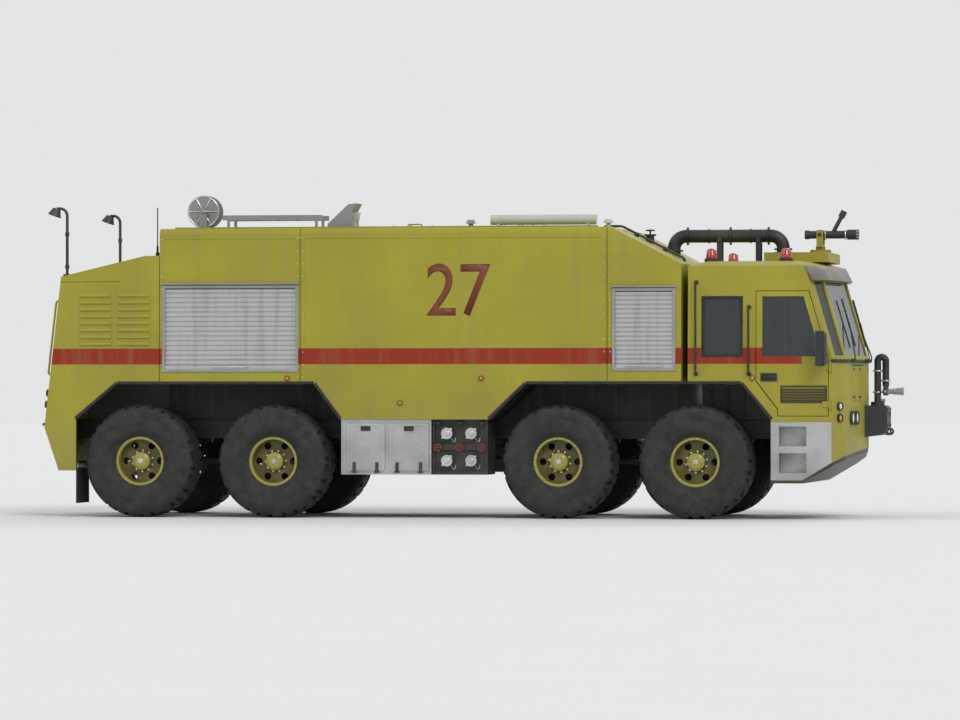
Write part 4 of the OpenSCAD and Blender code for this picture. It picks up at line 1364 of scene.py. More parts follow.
def addOutlets():
    # capped outlets with their tethers, hand wheels and gauges on the dark panel
    look = outletLook
    caps, wheels, gauges, tethers = [], [], [], []
    for x in look["columns"]:
        for z in look["rows"]:
            centre = Vector((at(x), look["face"], z))
            foot, face = centre + Vector((0, 0.004, 0)), centre - Vector((0, look["proud"], 0))
            cap = addRod(foot, face, look["radius"], 32)
            stepFaces(cap, right, look["steps"])
            roundEdges(cap, isSharp, 0.003)
            caps.append(cap)
            for turn in look["lugs"]:
                reach, root = ray(turn) * look["lugReach"], centre - Vector((0, 0.008, 0))
                caps.append(addRod(root + reach * 0.7, root + reach, look["lugRadius"], 12, 0.003))
            bends = [centre + Vector(bend) for bend in look["tether"]]
            tethers.append(addPipe(bends, 0.03, look["tetherRadius"]))
    for x in look["valves"]:
        place = Vector((at(x), *look["valvePlace"]))
        hub = place - Vector(look["stem"])
        wheels.append(addRod(place, hub, 0.012, 12, 0.002))
        wheels.append(addRing(hub, (0, 1, 0), look["wheelRadius"], 0.008, 24, 8))
        for turn in look["spokes"]:
            reach = ray(turn) * look["wheelRadius"]
            wheels.append(addRod(hub - reach, hub + reach, 0.005, 8))
        gauges += addLamp(place + Vector((0, 0, look["gaugeUp"])), right, *look["gaugeSize"])
    finishPiece(caps, "outletCaps", bright, smooth=35, paired=True)
    finishPiece(wheels, "valveWheels", ink, smooth=40, paired=True)
    finishPiece(gauges, "panelGauges", trim, smooth=40, paired=True)
    finishPiece(tethers, "capTethers", bright, smooth=40, paired=True)


addOutlets()
print("panels ready")

# rear of the truck

rearLook = {
    "low": 1.10, "lean": 0.21, "top": 2.95, "face": -8.05,
    "frameHalf": 1.0, "frameBorder": 0.05, "frameLow": 1.43, "frameHigh": 2.71,
    "lampPlaces": (1.17, 1.33), "lampRows": (("red", 1.38), ("amber", 1.52)), "lampOut": 0.032,
    "lampFacing": (-1, 0, 0.113), "lampSize": (0.045, 0.03, 0.007),
    "rails": (1.12, 1.40), "railLow": 1.75, "railHigh": 2.65, "railOut": 0.05, "barRadius": 0.014,
    "ladder": (0.62, 0.92), "ladderLow": 1.22, "ladderHigh": 2.9, "ladderOut": 0.055,
    "rungs": 6, "rungLow": 1.36, "rungPitch": 0.27, "rungRadius": 0.011,
    "stepRib": ((-8.135, -1.2, 1.148), (-8.055, -1.188, 1.154)), "stepRibs": 41, "stepPitch": 0.06,
    "plateHalf": 0.26, "plateLow": 1.26, "plateHigh": 1.37, "plateProud": 0.014,
}


def rearFace(z):
    # the rear wall at a height; it leans forward
    look = rearLook
    return at(look["face"] + look["lean"] * (z - look["low"]) / (look["top"] - look["low"]))


def leanBack(co):
    co.x += rearFace(co.z)


def addLouvreFrame():
    # frame round the louvres, leaning with the wall
    look = rearLook
    half, border, low, high = look["frameHalf"], look["frameBorder"], look["frameLow"], look["frameHigh"]
    bars = []
    for y0, y1, z0, z1 in ((-half, border - half, low, high), (half - border, half, low, high),
                           (-half, half, low, low + border), (-half, half, high - border, high)):
        bar = addBox((-0.012, y0, z0), (0.004, y1, z1), 0.003)
        reshape(bar, leanBack)
        bars.append(bar)
    return bars


def onRear(y, z, out=0.0):
    return rearFace(z) - out, y, z


def addLadder():
    # ladder up the rear wall on the left
    look = rearLook
    inner, outer = look["ladder"]
    out, low, high = look["ladderOut"], look["ladderLow"], look["ladderHigh"]
    parts = [addHandle(onRear(y, low), onRear(y, high), (-out, 0, 0), 0.04, look["barRadius"])
             for y in (inner, outer)]
    for i in range(look["rungs"]):
        z = look["rungLow"] + look["rungPitch"] * i
        parts.append(addRod(onRear(inner, z, out), onRear(outer, z, out), look["rungRadius"], 12))
    return parts


def addRearTrim():
    # lamps, grab rails beside the louvres, ribs on the step and the bare plate
    look = rearLook
    lamps = [(color, onRear(-y, z, look["lampOut"]), look["lampFacing"], *look["lampSize"])
             for y in look["lampPlaces"] for color, z in look["lampRows"]]
    fitLamps(lamps, "tailLampRims", {"red": ("tailLampLenses", redLens),
                                     "amber": ("turnLampLenses", amberLens)})
    rails = [addHandle(onRear(-y, look["railLow"]), onRear(-y, look["railHigh"]), (-look["railOut"], 0, 0),
                       0.03, look["barRadius"]) for y in look["rails"]]
    finishPiece(rails, "rearRails", plainLime, smooth=45, paired=True)
    ribs = copyRow(boxBetween(look["stepRib"], 0.001), (0, look["stepPitch"], 0), look["stepRibs"])
    finishPiece(ribs, "stepRibs", bright)
    x = rearFace(1.32)
    sign = addBox((x - look["plateProud"], -look["plateHalf"], look["plateLow"]),
                  (x + bite, look["plateHalf"], look["plateHigh"]), 0.003)
    stepFaces(sign, back, ((0.01, -0.003),))
    finishPiece(sign, "blankPlate", pale, smooth=30)


finishPiece(addLouvreFrame(), "louvreFrame", trim, smooth=30)
finishPiece(addLadder(), "rearLadder", bright, smooth=45)
addRearTrim()

radiatorLook = {
    # gap is how far the core stands behind the wall; the sizes are those of the upright core before it leans
    "halfWidth": 0.93, "low": 1.46, "high": 2.68, "gap": 0.11, "deep": 0.035, "fins": 62, "finPitch": 0.03,
    "tankTall": 0.06, "baffleY": (-1.43, 0.91), "baffleWide": 0.52, "baffleLow": 1.31, "baffleHigh": 2.82,
    "ribs": (1.55, 2.05, 2.55), "fanY": (-0.46, 0.46), "fanRadius": 0.425, "hubRadius": 0.075,
    "blades": 9, "bladeTurn": 24, "bladeReach": (0.06, 0.40), "bladeHalf": 0.05,
}


def addCore():
    # finned core with a tank along its foot and its head
    look = radiatorLook
    wide, low, high, x = look["halfWidth"], look["low"], look["high"], look["gap"]
    core = addBox((x, -wide, low), (x + look["deep"], wide, high), 0.006)
    fin = addBox((x - 0.006, -wide + 0.03, low + 0.03), (x + 0.002, -wide + 0.036, high - 0.03))
    tanks = [addBox((x - 0.016, -wide, z), (x + 0.04, wide, z + look["tankTall"]), 0.008, 2)
             for z in (low + 0.012, high - 0.07)]
    return [core] + copyRow(fin, (0, look["finPitch"], 0), look["fins"]) + tanks


def addBaffles():
    # ribbed sheets beside the core, and plain ones below and above it
    look = radiatorLook
    near, far = look["gap"] + 0.01, look["gap"] + 0.022
    sheets = []
    for y in look["baffleY"]:
        side = y + look["baffleWide"]
        sheets.append(addBox((near, y, look["baffleLow"]), (far, side, look["baffleHigh"]), 0.003))
        sheets += [addBox((look["gap"], y + 0.05, z), (look["gap"] + 0.014, y + 0.47, z + 0.03), 0.004)
                   for z in look["ribs"]]
    for z0, z1 in ((look["low"] - 0.16, look["low"] + 0.02), (look["high"] - 0.02, look["baffleHigh"])):
        sheets.append(addBox((near, -0.91, z0), (far, 0.91, z1), 0.003))
    return sheets


def addFans():
    look = radiatorLook
    parts = []
    for y in look["fanY"]:
        hub = Vector((look["gap"] - 0.03, y, (look["low"] + look["high"]) / 2))
        start, end = hub - Vector((0.02, 0, 0)), hub + Vector((0.028, 0, 0))
        parts.append(addRod(start, end, look["hubRadius"], 24, 0.008))
        parts.append(addRing(hub, ahead, look["fanRadius"], 0.012, 48, 8))
        root, tip = look["bladeReach"]
        blade = addBox(hub + Vector((-0.004, -look["bladeHalf"], root)),
                       hub + Vector((0.004, look["bladeHalf"], tip)), 0.002)
        turnMesh(blade, look["bladeTurn"], "Z", hub)
        spinCopies(blade, look["blades"], hub, ahead)
        parts.append(blade)
    return parts


# seen through the rear louvres, leaning with the wall
cooling = ((addCore(), "radiatorCore", cast, 30), (addBaffles(), "radiatorBaffles", trim, 30),
           (addFans(), "coolingFans", steel, 35))
for parts, name, material, smooth in cooling:
    piece = joinAll(parts, name)
    reshape(piece, leanBack)
    finishPiece(piece, name, material, smooth=smooth)

linerLook = {
    "panel": ((-0.03, -0.558, 1.195), (0.91, -0.546, 1.625)), "cut": 0.355,
    "rib": ((0.0, -0.566, 1.24), (0.03, -0.553, 1.56)), "ribs": (0.08, 0.28, 0.48),
}


def addArchLiners():
    # splash panels under the cab's floor, inboard of the front wheels, with pressed ribs
    look = linerLook
    panel = boxBetween(look["panel"], 0.003)
    middle = middleOf(*look["panel"])

    def slantFront(co):
        # follows the slope of the arch's front end
        if co.x > at(middle[0]) and co.z > middle[2]:
            co.x -= look["cut"]

    reshape(panel, slantFront)
    return [panel] + [boxBetween(look["rib"], 0.005, 2, (place, 0, 0)) for place in look["ribs"]]


finishPiece(addArchLiners(), "archLiners", steel, smooth=30, paired=True)

aerialLook = {
    "place": (-6.69, -1.22, 3.2), "coils": 6, "coilLow": 0.06, "coilPitch": 0.012,
    # low and high end over the foot, radius, sides and bevel of the base, the spring's core and the whip
    "rods": ((0.0, 0.05, 0.024, 20, 0.005), (0.05, 0.13, 0.012, 12, 0.003), (0.12, 0.60, 0.007, 10, 0.002)),
}


def addAerial():
    # second whip aerial, on the flat strip of the engine deck
    look = aerialLook
    x, y, z = look["place"]
    parts = [addRod((at(x), y, z + low), (at(x), y, z + high), *size) for low, high, *size in look["rods"]]
    coil = addRing((at(x), y, z + look["coilLow"]), up, 0.013, 0.003, 16, 6)
    return parts + copyRow(coil, (0, 0, look["coilPitch"]), look["coils"])


finishPiece(addAerial(), "whipAerial", trim, smooth=40)

louvreLook = {"columns": (-7.60, -7.12), "wide": 0.40, "rows": 8, "low": 2.105, "pitch": 0.085, "tall": 0.045,
              "proud": 0.016, "slope": 0.014}


def addSideLouvres():
    # pressed cooling slots on the engine house's sides, each with a sloping hood
    look = louvreLook
    x, z = look["columns"][0], look["low"]
    hood = addWallBox(x, x + look["wide"], z, z + look["tall"], look["proud"], 0.003)
    startEdit(hood)
    pickParts(hood, "EDGE", lambda edge: all(v.co.y < wall - 0.01 and v.co.z > z + 0.03 for v in edge.verts))
    bpy.ops.transform.translate(value=(0, look["slope"], 0))
    endEdit()
    return [copyOf(hood, (column - x, 0, look["pitch"] * row)) for row in range(look["rows"])
            for column in look["columns"] if row or column != x] + [hood]


finishPiece(addSideLouvres(), "sideLouvres", plainLime, paired=True)

flapLook = {"bar": ((-7.6355, -1.49, 0.60), (-7.6275, -0.91, 0.66)), "boltEnds": (-1.44, -0.96),
            "bolts": 6, "boltRadius": 0.011, "boltTall": 0.008}


def addFlapFittings():
    # the bars that clamp the mud flaps, with their bolts
    look = flapLook
    x, z = at(look["bar"][1][0]), middleOf(*look["bar"])[2]
    bolts = spread(*((x, y, z) for y in look["boltEnds"]), look["bolts"])
    return [boxBetween(look["bar"], 0.002), boltRow(bolts, ahead, look["boltRadius"], look["boltTall"])]


finishPiece(addFlapFittings(), "flapBars", bright, paired=True)
print("rear ready")

# running gear seen between and under the wheels

gearLook = {
    "shaftEnd": 0.30, "shaftRadius": 0.045, "yokeRadius": 0.075, "yokeHalf": 0.03,
    "crossHalf": 0.07, "crossRadius": 0.022,
    # start and end from the axle's centre, radius, sides, bevel: brake chamber, its rod, damper, its sleeve
    "rods": (((-0.17, -0.56, 0.02), (-0.30, -0.56, 0.10), 0.07, 24, 0.012),
             ((-0.02, -0.56, -0.02), (-0.18, -0.56, 0.03), 0.012, 12, 0.0),
             ((0.15, -0.60, -0.04), (0.26, -0.54, 0.4725), 0.032, 16, 0.004),
             ((0.19, -0.578, 0.12), (0.26, -0.54, 0.4725), 0.042, 16, 0.004)),
    "tanks": ((-4.25, -3.45), (-3.35, -2.70)), "tankPlace": (-0.70, 1.02), "tankRadius": 0.13,
    "strapIn": 0.15,
}


def addShafts(centres):
    # drive shafts from axle to axle, with a joint at each end
    look = gearLook
    forward = Vector(ahead)
    yoke, cross = forward * look["yokeHalf"], Vector((0, look["crossHalf"], 0))
    shafts = []
    for front, rear in zip(centres, centres[1:]):
        start, end = front - forward * look["shaftEnd"], rear + forward * look["shaftEnd"]
        shafts.append(addRod(start, end, look["shaftRadius"], 24, 0.006))
        for joint in (start - forward * 0.02, end + forward * 0.02):
            shafts.append(addRod(joint - yoke, joint + yoke, look["yokeRadius"], 24, 0.006))
            shafts.append(addRod(joint - cross, joint + cross, look["crossRadius"], 12, 0.003))
    return shafts


def addAirTanks():
    # air tanks with their straps and hangers
    look = gearLook
    y, z = look["tankPlace"]
    tanks = []
    for x0, x1 in look["tanks"]:
        tanks.append(addRod((at(x0), y, z), (at(x1), y, z), look["tankRadius"], 32, 0.04))
        for x in (at(x0 + look["strapIn"]), at(x1 - look["strapIn"])):
            tanks.append(addRing((x, y, z), ahead, look["tankRadius"] + 0.002, 0.008, 32, 8))
            tanks.append(addBox((x - 0.02, y - 0.02, z + 0.12), (x + 0.02, y + 0.02, z + 0.179), 0.003))
    return tanks


axleCentres = []
for number in (1, 2, 3, 4):
    x, y, z = middleOf(*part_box(f"tyre_{number}_left"))
    axleCentres.append(Vector((x, 0, z)))
finishPiece(addShafts(axleCentres), "driveShafts", steel, smooth=40)
brakeParts = [addRod(centre + Vector(start), centre + Vector(end), *size)
              for centre in axleCentres for start, end, *size in gearLook["rods"]]
finishPiece(brakeParts, "brakesAndDampers", cast, smooth=40, paired=True)
finishPiece(addAirTanks(), "airTanks", steel, smooth=35, paired=True)
print("running gear ready")

# turrets, roof pipe and roof gear


def addFlange(place, axis, radius, thick=0.018, bolts=8):
    place, axis = Vector(place), Vector(axis).normalized()
    ring = addRod(place - axis * thick / 2, place + axis * thick / 2, radius, 32, 0.003)
    spoke, face = axis.orthogonal().normalized() * (radius - 0.013), place + axis * thick / 2
    spots = [face + Matrix.Rotation(2 * math.pi * i / bolts, 3, axis) @ spoke for i in range(bolts)]
    return joinAll([ring, boltRow(spots, axis, 0.007, 0.006)], "flange")


pipeLook = {
    "feet": ((-0.45, 3.27), (0.90, 3.285)), "level": 3.45, "flanges": (-0.28, 0.25, 0.72),
    "flangeRadius": 0.112,
    "rings": (-0.02, 0.5), "ringRadius": 0.084, "brackets": (0.12, 0.6),
    # a bracket's two legs and its cross bar
    "bracketBars": (((-0.03, -0.10, 3.10), (0.03, -0.085, 3.46)), ((-0.03, 0.085, 3.10), (0.03, 0.10, 3.46)),
                    ((-0.03, -0.10, 3.36), (0.03, 0.10, 3.372))),
}


def addPipeFlanges():
    look = pipeLook
    z = look["level"]
    parts = [addFlange((at(x), 0, low), up, look["flangeRadius"]) for x, low in look["feet"]]
    parts += [addFlange((at(x), 0, z), ahead, look["flangeRadius"]) for x in look["flanges"]]
    parts += [addRing((at(x), 0, z), ahead, look["ringRadius"], 0.009, 32, 8) for x in look["rings"]]
    parts += [boxBetween(bar, 0.003, move=(x, 0, 0)) for x in look["brackets"] for bar in look["bracketBars"]]
    return parts


finishPiece(addPipeFlanges(), "pipeFlanges", steel, smooth=35)

slopeLook = {
    "top": -1.03, "fall": 0.45, "length": 0.87, "conduits": (-0.42, -0.50), "radius": 0.014, "stand": 0.035,
    "rear": -1.25, "front": -0.26, "clips": (-0.85, -0.5), "valve": (-0.72, -0.2), "valveRadius": 0.05,
}


def onSlope(x):
    # the roof's height behind the cab
    look = slopeLook
    return roofZ - look["fall"] * (x - look["top"]) / look["length"]


def addConduits():
    # cable conduits down the sloped roof, with their clips
    look = slopeLook
    rear, top, front, stand = look["rear"], look["top"], look["front"], look["stand"]
    parts = []
    for y in look["conduits"]:
        route = [(at(rear), y, roofZ), (at(rear), y, roofZ + stand), (at(top), y, roofZ + stand),
                 (at(front), y, onSlope(front) + stand), (at(front), y, onSlope(front) - 0.01)]
        parts.append(addPipe(route, 0.03, look["radius"]))
        for x in look["clips"]:
            low, high = onSlope(x) - 0.005, onSlope(x) + 0.05
            parts.append(addBox((at(x) - 0.02, y - 0.03, low), (at(x) + 0.02, y + 0.03, high), 0.004))
    return parts


def addDrainValve():
    look = slopeLook
    x, y = look["valve"]
    foot = Vector((at(x), y, onSlope(x)))
    collar, hub = foot + Vector((0, 0, 0.09)), foot + Vector((0, 0, 0.15))
    return [addRod(foot - Vector((0, 0, 0.02)), foot + Vector((0, 0, 0.10)), look["valveRadius"], 24, 0.006),
            addFlange(collar, up, look["valveRadius"] * 1.5), addRod(collar, hub, 0.012, 12),
            addRing(hub, up, look["valveRadius"], 0.009, 24, 8)]


finishPiece(addConduits() + addDrainValve(), "slopeGear", steel, smooth=40)

barrelLook = {
    # rings give the distance ahead of the pivot and what they stand out; capOut is where the caps end
    "roof": {"pivot": (1.36, 0.0, 3.46), "reach": 0.47, "radius": 0.062,
             "rings": ((0.06, 0.012), (0.31, 0.010)), "capOut": 0.0735},
    "bumper": {"pivot": (2.16, 0.0, 1.54), "reach": 0.22, "radius": 0.042,
               "rings": ((0.11, 0.012),), "capOut": 0.0612},
}


def addPinCaps(place, near, far, radius, sides, bevel=0.003):
    # caps on both ends of a tilting pin
    return [addRod(place + Vector((0, near * side, 0)), place + Vector((0, far * side, 0)),
                   radius, sides, bevel) for side in (-1, 1)]


def addBarrelTrim(look):
    # clamp rings, nozzle teeth and pivot caps on a turret's barrel
    x, y, z = look["pivot"]
    pivot, radius, reach = Vector((at(x), y, z)), look["radius"], look["reach"]
    parts = [addRing(pivot + Vector((along, 0, 0)), ahead, radius * 0.78 + extra, 0.008, 32, 8)
             for along, extra in look["rings"]]
    tooth = addBox(pivot + Vector((reach - 0.03, -0.006, radius - 0.004)),
                   pivot + Vector((reach, 0.006, radius + 0.006)), 0.002)
    spinCopies(tooth, 12, pivot, ahead)
    return parts + [tooth] + addPinCaps(pivot, 0.05, look["capOut"], radius * 0.55, 24)


for turret, look in barrelLook.items():
    finishPiece(addBarrelTrim(look), f"{turret}BarrelTrim", bright, f"{turret}_barrel", 35)

turretLook = {
    "ringTop": 0.0403, "roofFoot": (1.36, 0.0, 3.23), "roofBolts": (0.112, 10), "roofPin": 0.23,
    "motorY": (0.105, 0.185), "motorRadius": 0.034,
    "bumperFoot": (2.06, 0.0, 1.37), "bumperBolts": (0.072, 8), "bumperPin": (0.1, 0, 0.17),
    "flanges": ((0, 0, 0.16), (0, 0, 0.42), (0.1, 0, 0.30)), "flangeRadius": 0.062,
    "motorX": (0.03, 0.095), "bumperMotorZ": 0.062, "bumperMotorRadius": 0.019,
}


def slewingBolts(foot, bolts, radius, height):
    circle, count = bolts
    return boltRow(ringOf(foot + Vector((0, 0, turretLook["ringTop"])), circle, count), up, radius, height)


def addRoofTurretTrim():
    # slewing ring bolts, worm drive with its motor, and pin caps
    look = turretLook
    x, y, z = look["roofFoot"]
    foot = Vector((at(x), y, z))
    parts = [slewingBolts(foot, look["roofBolts"], 0.008, 0.007)]
    start, end = (foot + Vector((-0.03, motorY, 0.06)) for motorY in look["motorY"])
    parts.append(addRod(start, end, look["motorRadius"], 24, 0.006))
    parts.append(addBox(foot + Vector((-0.065, 0.05, 0.035)), foot + Vector((0.005, 0.115, 0.095)), 0.008, 2))
    return parts + addPinCaps(foot + Vector((0, 0, look["roofPin"])), 0.104, 0.118, 0.026, 6)


def addBumperTurretTrim():
    # slewing ring bolts, flanges, motor and pin caps
    look = turretLook
    x, y, z = look["bumperFoot"]
    foot = Vector((at(x), y, z))
    parts = [slewingBolts(foot, look["bumperBolts"], 0.006, 0.006)]
    for place in look["flanges"]:
        parts.append(addFlange(foot + Vector(place), up, look["flangeRadius"], 0.016, 6))
    start, end = (foot + Vector((motorX, 0, look["bumperMotorZ"])) for motorX in look["motorX"])
    parts.append(addRod(start, end, look["bumperMotorRadius"], 20, 0.004))
    return parts + addPinCaps(foot + Vector(look["bumperPin"]), 0.0895, 0.10, 0.018, 6, 0.002)


finishPiece(addRoofTurretTrim(), "roofTurretTrim", steel, "roof_turret", 35)
finishPiece(addBumperTurretTrim(), "bumperTurretTrim", bright, "bumper_turret", 35)

reelLook = {
    "centre": (-6.14, -0.98, 3.75), "ribs": 9, "ribPitch": 0.018, "drumRadius": 0.128, "rimOut": 0.111,
    "rimRadius": 0.188, "spokes": 6, "spokeReach": 0.18, "spokeRadius": 0.009,
    "crank": ((0, -0.14, 0), (0, -0.17, 0), (0.12, -0.17, 0), (0.12, -0.23, 0)), "crankRadius": 0.01,
}
guardLook = {"low": (-4.265, -1.13, 3.555), "high": (-4.225, -1.13, 3.735), "bars": 6, "pitch": 0.06,
             "radius": 0.005}


def addReelTrim():
    # drum ribs, rims with spokes and the crank of the hose reel
    look = reelLook
    x, y, z = look["centre"]
    centre = Vector((at(x), y, z))
    first = centre - Vector((0, look["ribPitch"] * (look["ribs"] - 1) / 2, 0))
    rib = addRing(first, (0, 1, 0), look["drumRadius"], 0.010, 32, 8)
    ribs = copyRow(rib, (0, look["ribPitch"], 0), look["ribs"])
    finishPiece(ribs, "reelDrumRibs", flapRubber, smooth=40)
    spokes = []
    for side in (-1, 1):
        rim = centre + Vector((0, look["rimOut"] * side, 0))
        hub = rim + Vector((0, 0.001 * side, 0))
        spokes.append(addRing(rim, (0, 1, 0), look["rimRadius"], 0.008, 40, 8))
        for i in range(look["spokes"]):
            reach = ray(360 * i / look["spokes"]) * look["spokeReach"]
            spokes.append(addRod(hub + reach * 0.2, hub + reach, look["spokeRadius"], 8, 0.002))
    spokes.append(addPipe([centre + Vector(bend) for bend in look["crank"]], 0.015, look["crankRadius"]))
    finishPiece(spokes, "reelSpokes", bright, smooth=40)


def addLampGuard():
    # guard bars of the folded scene lamp
    look = guardLook
    (x0, y, z0), (x1, y, z1) = look["low"], look["high"]
    bar = addRod((at(x0), y, z0), (at(x1), y, z1), look["radius"], 8)
    return copyRow(bar, (0, look["pitch"], 0), look["bars"])


addReelTrim()
finishPiece(addLampGuard(), "lampGuard", bright, smooth=40)

mastLook = {
    "place": (-7.80, -1.35), "clamps": (3.05, 3.45), "clampRadius": 0.026, "clampTall": 0.05,
    "foot": 2.959524, "footRadius": 0.05, "footTall": 0.022, "boltCircle": 0.036, "bolts": 4,
    "lampOut": 0.13, "lampZ": 3.79, "lampTilt": -110, "mouth": 0.0845, "lampSize": (0.083, 0.012, 0.008),
}


def addMastTrim():
    # clamps, foot plates and round lamp glasses of the rear masts
    look = mastLook
    x, y = look["place"]
    base = Vector((at(x), y, 0))
    parts = []
    for z in look["clamps"]:
        low, high = base + Vector((0, 0, z)), base + Vector((0, 0, z + look["clampTall"]))
        parts.append(addRod(low, high, look["clampRadius"], 16, 0.004))
    foot, top = base + Vector((0, 0, look["foot"])), base + Vector((0, 0, look["foot"] + look["footTall"]))
    parts.append(addRod(foot, top, look["footRadius"], 24, 0.004))
    parts.append(boltRow(ringOf(top, look["boltCircle"], look["bolts"], 45), up, 0.006, 0.005))
    down = ray(look["lampTilt"])
    mouth = base + Vector((-look["lampOut"], 0, look["lampZ"])) + down * look["mouth"]
    rim, lens = addLamp(mouth, down, *look["lampSize"])
    finishPiece(parts + [rim], "mastFittings", steel, smooth=40, paired=True)
    finishPiece(lens, "mastLampGlasses", whiteLens, smooth=50, paired=True)


addMastTrim()
print("roof ready")

# mirrors

mirrorLook = {
    "glass": ((1.487, -1.785, 1.98), (1.495, -1.615, 2.245)),
    "lower": ((1.487, -1.785, 1.86), (1.495, -1.615, 1.965)),
    "back": ((1.577, -1.787, 1.85), (1.60, -1.605, 2.25)), "armX": 1.53, "armRadius": 0.011,
    "arm": ((-1.50, 2.02), (-1.56, 2.02), (-1.56, 2.20), (-1.62, 2.20)),
    # start, end, height, radius, sides and bevel of the two feet on the door
    "feet": ((-1.505, -1.522, 1.90, 0.034, 24, 0.004), (-1.49, -1.51, 2.02, 0.02, 16, 0.003)),
}


def addMirror(side):
    # flat glass, convex lower glass, and the back shell on its tubular arms
    look = mirrorLook
    lower = boxBetween(look["lower"], 0.003)
    stepFaces(lower, back, ((0.02, 0.006),), sloped=True)
    panes = joinAll([boxBetween(look["glass"], 0.003), lower], "mirrorGlass")
    x = at(look["armX"])
    shell = boxBetween(look["back"], 0.01, 2)
    stepFaces(shell, ahead, ((0.03, 0.016),), sloped=True)
    arm = addPipe([(x, y, z) for y, z in look["arm"]], 0.03, look["armRadius"])
    feet = [addRod((x, y0, z), (x, y1, z), *size) for y0, y1, z, *size in look["feet"]]
    arms = joinAll([arm] + feet + [shell], "mirrorArms")
    name, door = side.capitalize(), f"door_{side}"
    finishPiece(onSide(panes, side), f"mirrorGlass{name}", bright, door, 40)
    finishPiece(onSide(arms, side), f"mirrorArms{name}", trim, door, 40)


addMirror("left")
addMirror("right")

# cab seats as padded pieces, and the dashboard's controls

seatLook = {
    "x": 0.56, "floor": 1.68, "places": (-0.62, 0.0, 0.62),
    # low and high corner from the seat's foot, and tilt in degrees
    "cushions": (("Bottom", (-0.20, -0.245, 0.33), (0.25, 0.245, 0.43), -2),
                 ("Back", (-0.30, -0.235, 0.42), (-0.20, 0.235, 0.95), -8),
                 ("Head", (-0.355, -0.14, 0.80), (-0.265, 0.14, 0.97), -8)),
    "edge": 0.44, "channels": (-0.45, 0.45), "channelDepth": 0.010, "channelWidth": 0.035,
    "pedestal": ((-0.19, -0.20, 0.0), (0.19, 0.20, 0.29)),
    "tray": ((-0.23, -0.25, 0.29), (0.25, 0.25, 0.335)),
    "shell": ((-0.345, -0.24, 0.33), (-0.30, 0.24, 0.99)), "shellTilt": 8, "shellFoot": (-0.32, 0, 0.33),
}


def addCushion(low, high, tilt):
    # a crowned cushion whose sides pull in, with two sewn channels across it
    look = seatLook
    wide, deep, tall = ((b - a) / 2 for a, b in zip(low, high))
    cushion = addBox((-wide, -deep, -tall), (wide, deep, tall), look["edge"] * min(wide, deep, tall), 3)
    startEdit(cushion)
    pickAll()
    bpy.ops.mesh.subdivide(number_cuts=3)
    endEdit()

    def crown(co):
        u, v, w = co.x / wide, co.y / deep, co.z / tall
        seams = sum(math.exp(-((v - c) / look["channelWidth"]) ** 2) for c in look["channels"])
        channel = look["channelDepth"] * seams
        if tall < wide:
            co.z *= 0.86 + 0.14 * (1 - u * u) * (1 - v * v)
            co.z -= channel if w > 0.5 else 0.0
        else:
            co.x *= 0.84 + 0.16 * (1 - v * v) * (1 - w * w)
            co.x -= channel if u > 0.5 else 0.0
        co.y *= 0.97 + 0.03 * (1 - u * u)

    reshape(cushion, crown)
    cushion.rotation_euler = (0, math.radians(tilt), 0)
    cushion.location = middleOf(low, high)
    applyPlace(cushion)
    soften = cushion.modifiers.new("soften", "SUBSURF")
    soften.levels = 1
    soften.render_levels = 1
    applyModifier(cushion, "soften")
    return cushion


def addSeatFrame(foot):
    # pedestal with pressed sides, tray and leaning back shell
    look = seatLook
    corners = ((look["pedestal"], 0.012), (look["tray"], 0.012), (look["shell"], 0.015))
    pedestal, tray, shell = (addBox(foot + Vector(low), foot + Vector(high), bevel, 2)
                             for (low, high), bevel in corners)
    middle = foot.z + look["pedestal"][1][2] / 2
    startEdit(pedestal)
    pickFaces(pedestal, lambda centre, normal: abs(normal.z) < 0.1 and abs(normal.x) + abs(normal.y) > 0.95
              and abs(centre.z - middle) < 0.02)
    bpy.ops.mesh.inset(thickness=0.03, use_individual=True)
    bpy.ops.mesh.extrude_region_shrink_fatten(TRANSFORM_OT_shrink_fatten={"value": -0.008})
    endEdit()
    turnMesh(shell, look["shellTilt"], "Y", foot + Vector(look["shellFoot"]))
    return [pedestal, tray, shell]


def addSeats():
    look = seatLook
    frames, cushions = [], []
    for i, y in enumerate(look["places"]):
        foot = Vector((at(look["x"]), y, look["floor"]))
        for part, low, high, tilt in look["cushions"]:
            cushions.append((addCushion(foot + Vector(low), foot + Vector(high), tilt), f"seat{part}{i + 1}"))
        frames += addSeatFrame(foot)
    finishPiece(frames, "seatFrames", trim, smooth=35, stands=("seats",))
    for cushion, name in cushions:
        finishPiece(cushion, name, fabric, smooth=60)


addSeats()

dashLook = {
    "binnacle": ((1.44, -0.32, 1.88), (1.60, 0.32, 1.99)), "hoodDepth": 0.03,
    "screens": (-1.0, -0.75, 0.75, 1.0), "screen": ((1.47, -0.10, 1.90), (1.50, 0.10, 2.03)),
    "switch": ((1.425, -0.56, 1.76), (1.445, -0.535, 1.80)), "switches": 12, "switchPitch": 0.035,
    "pedals": (-0.12, 0.10), "pedal": ((1.26, -0.05, 1.33), (1.275, 0.05, 1.46)),
    "lever": ((1.275, 1.40), (1.41, 1.52)),
}


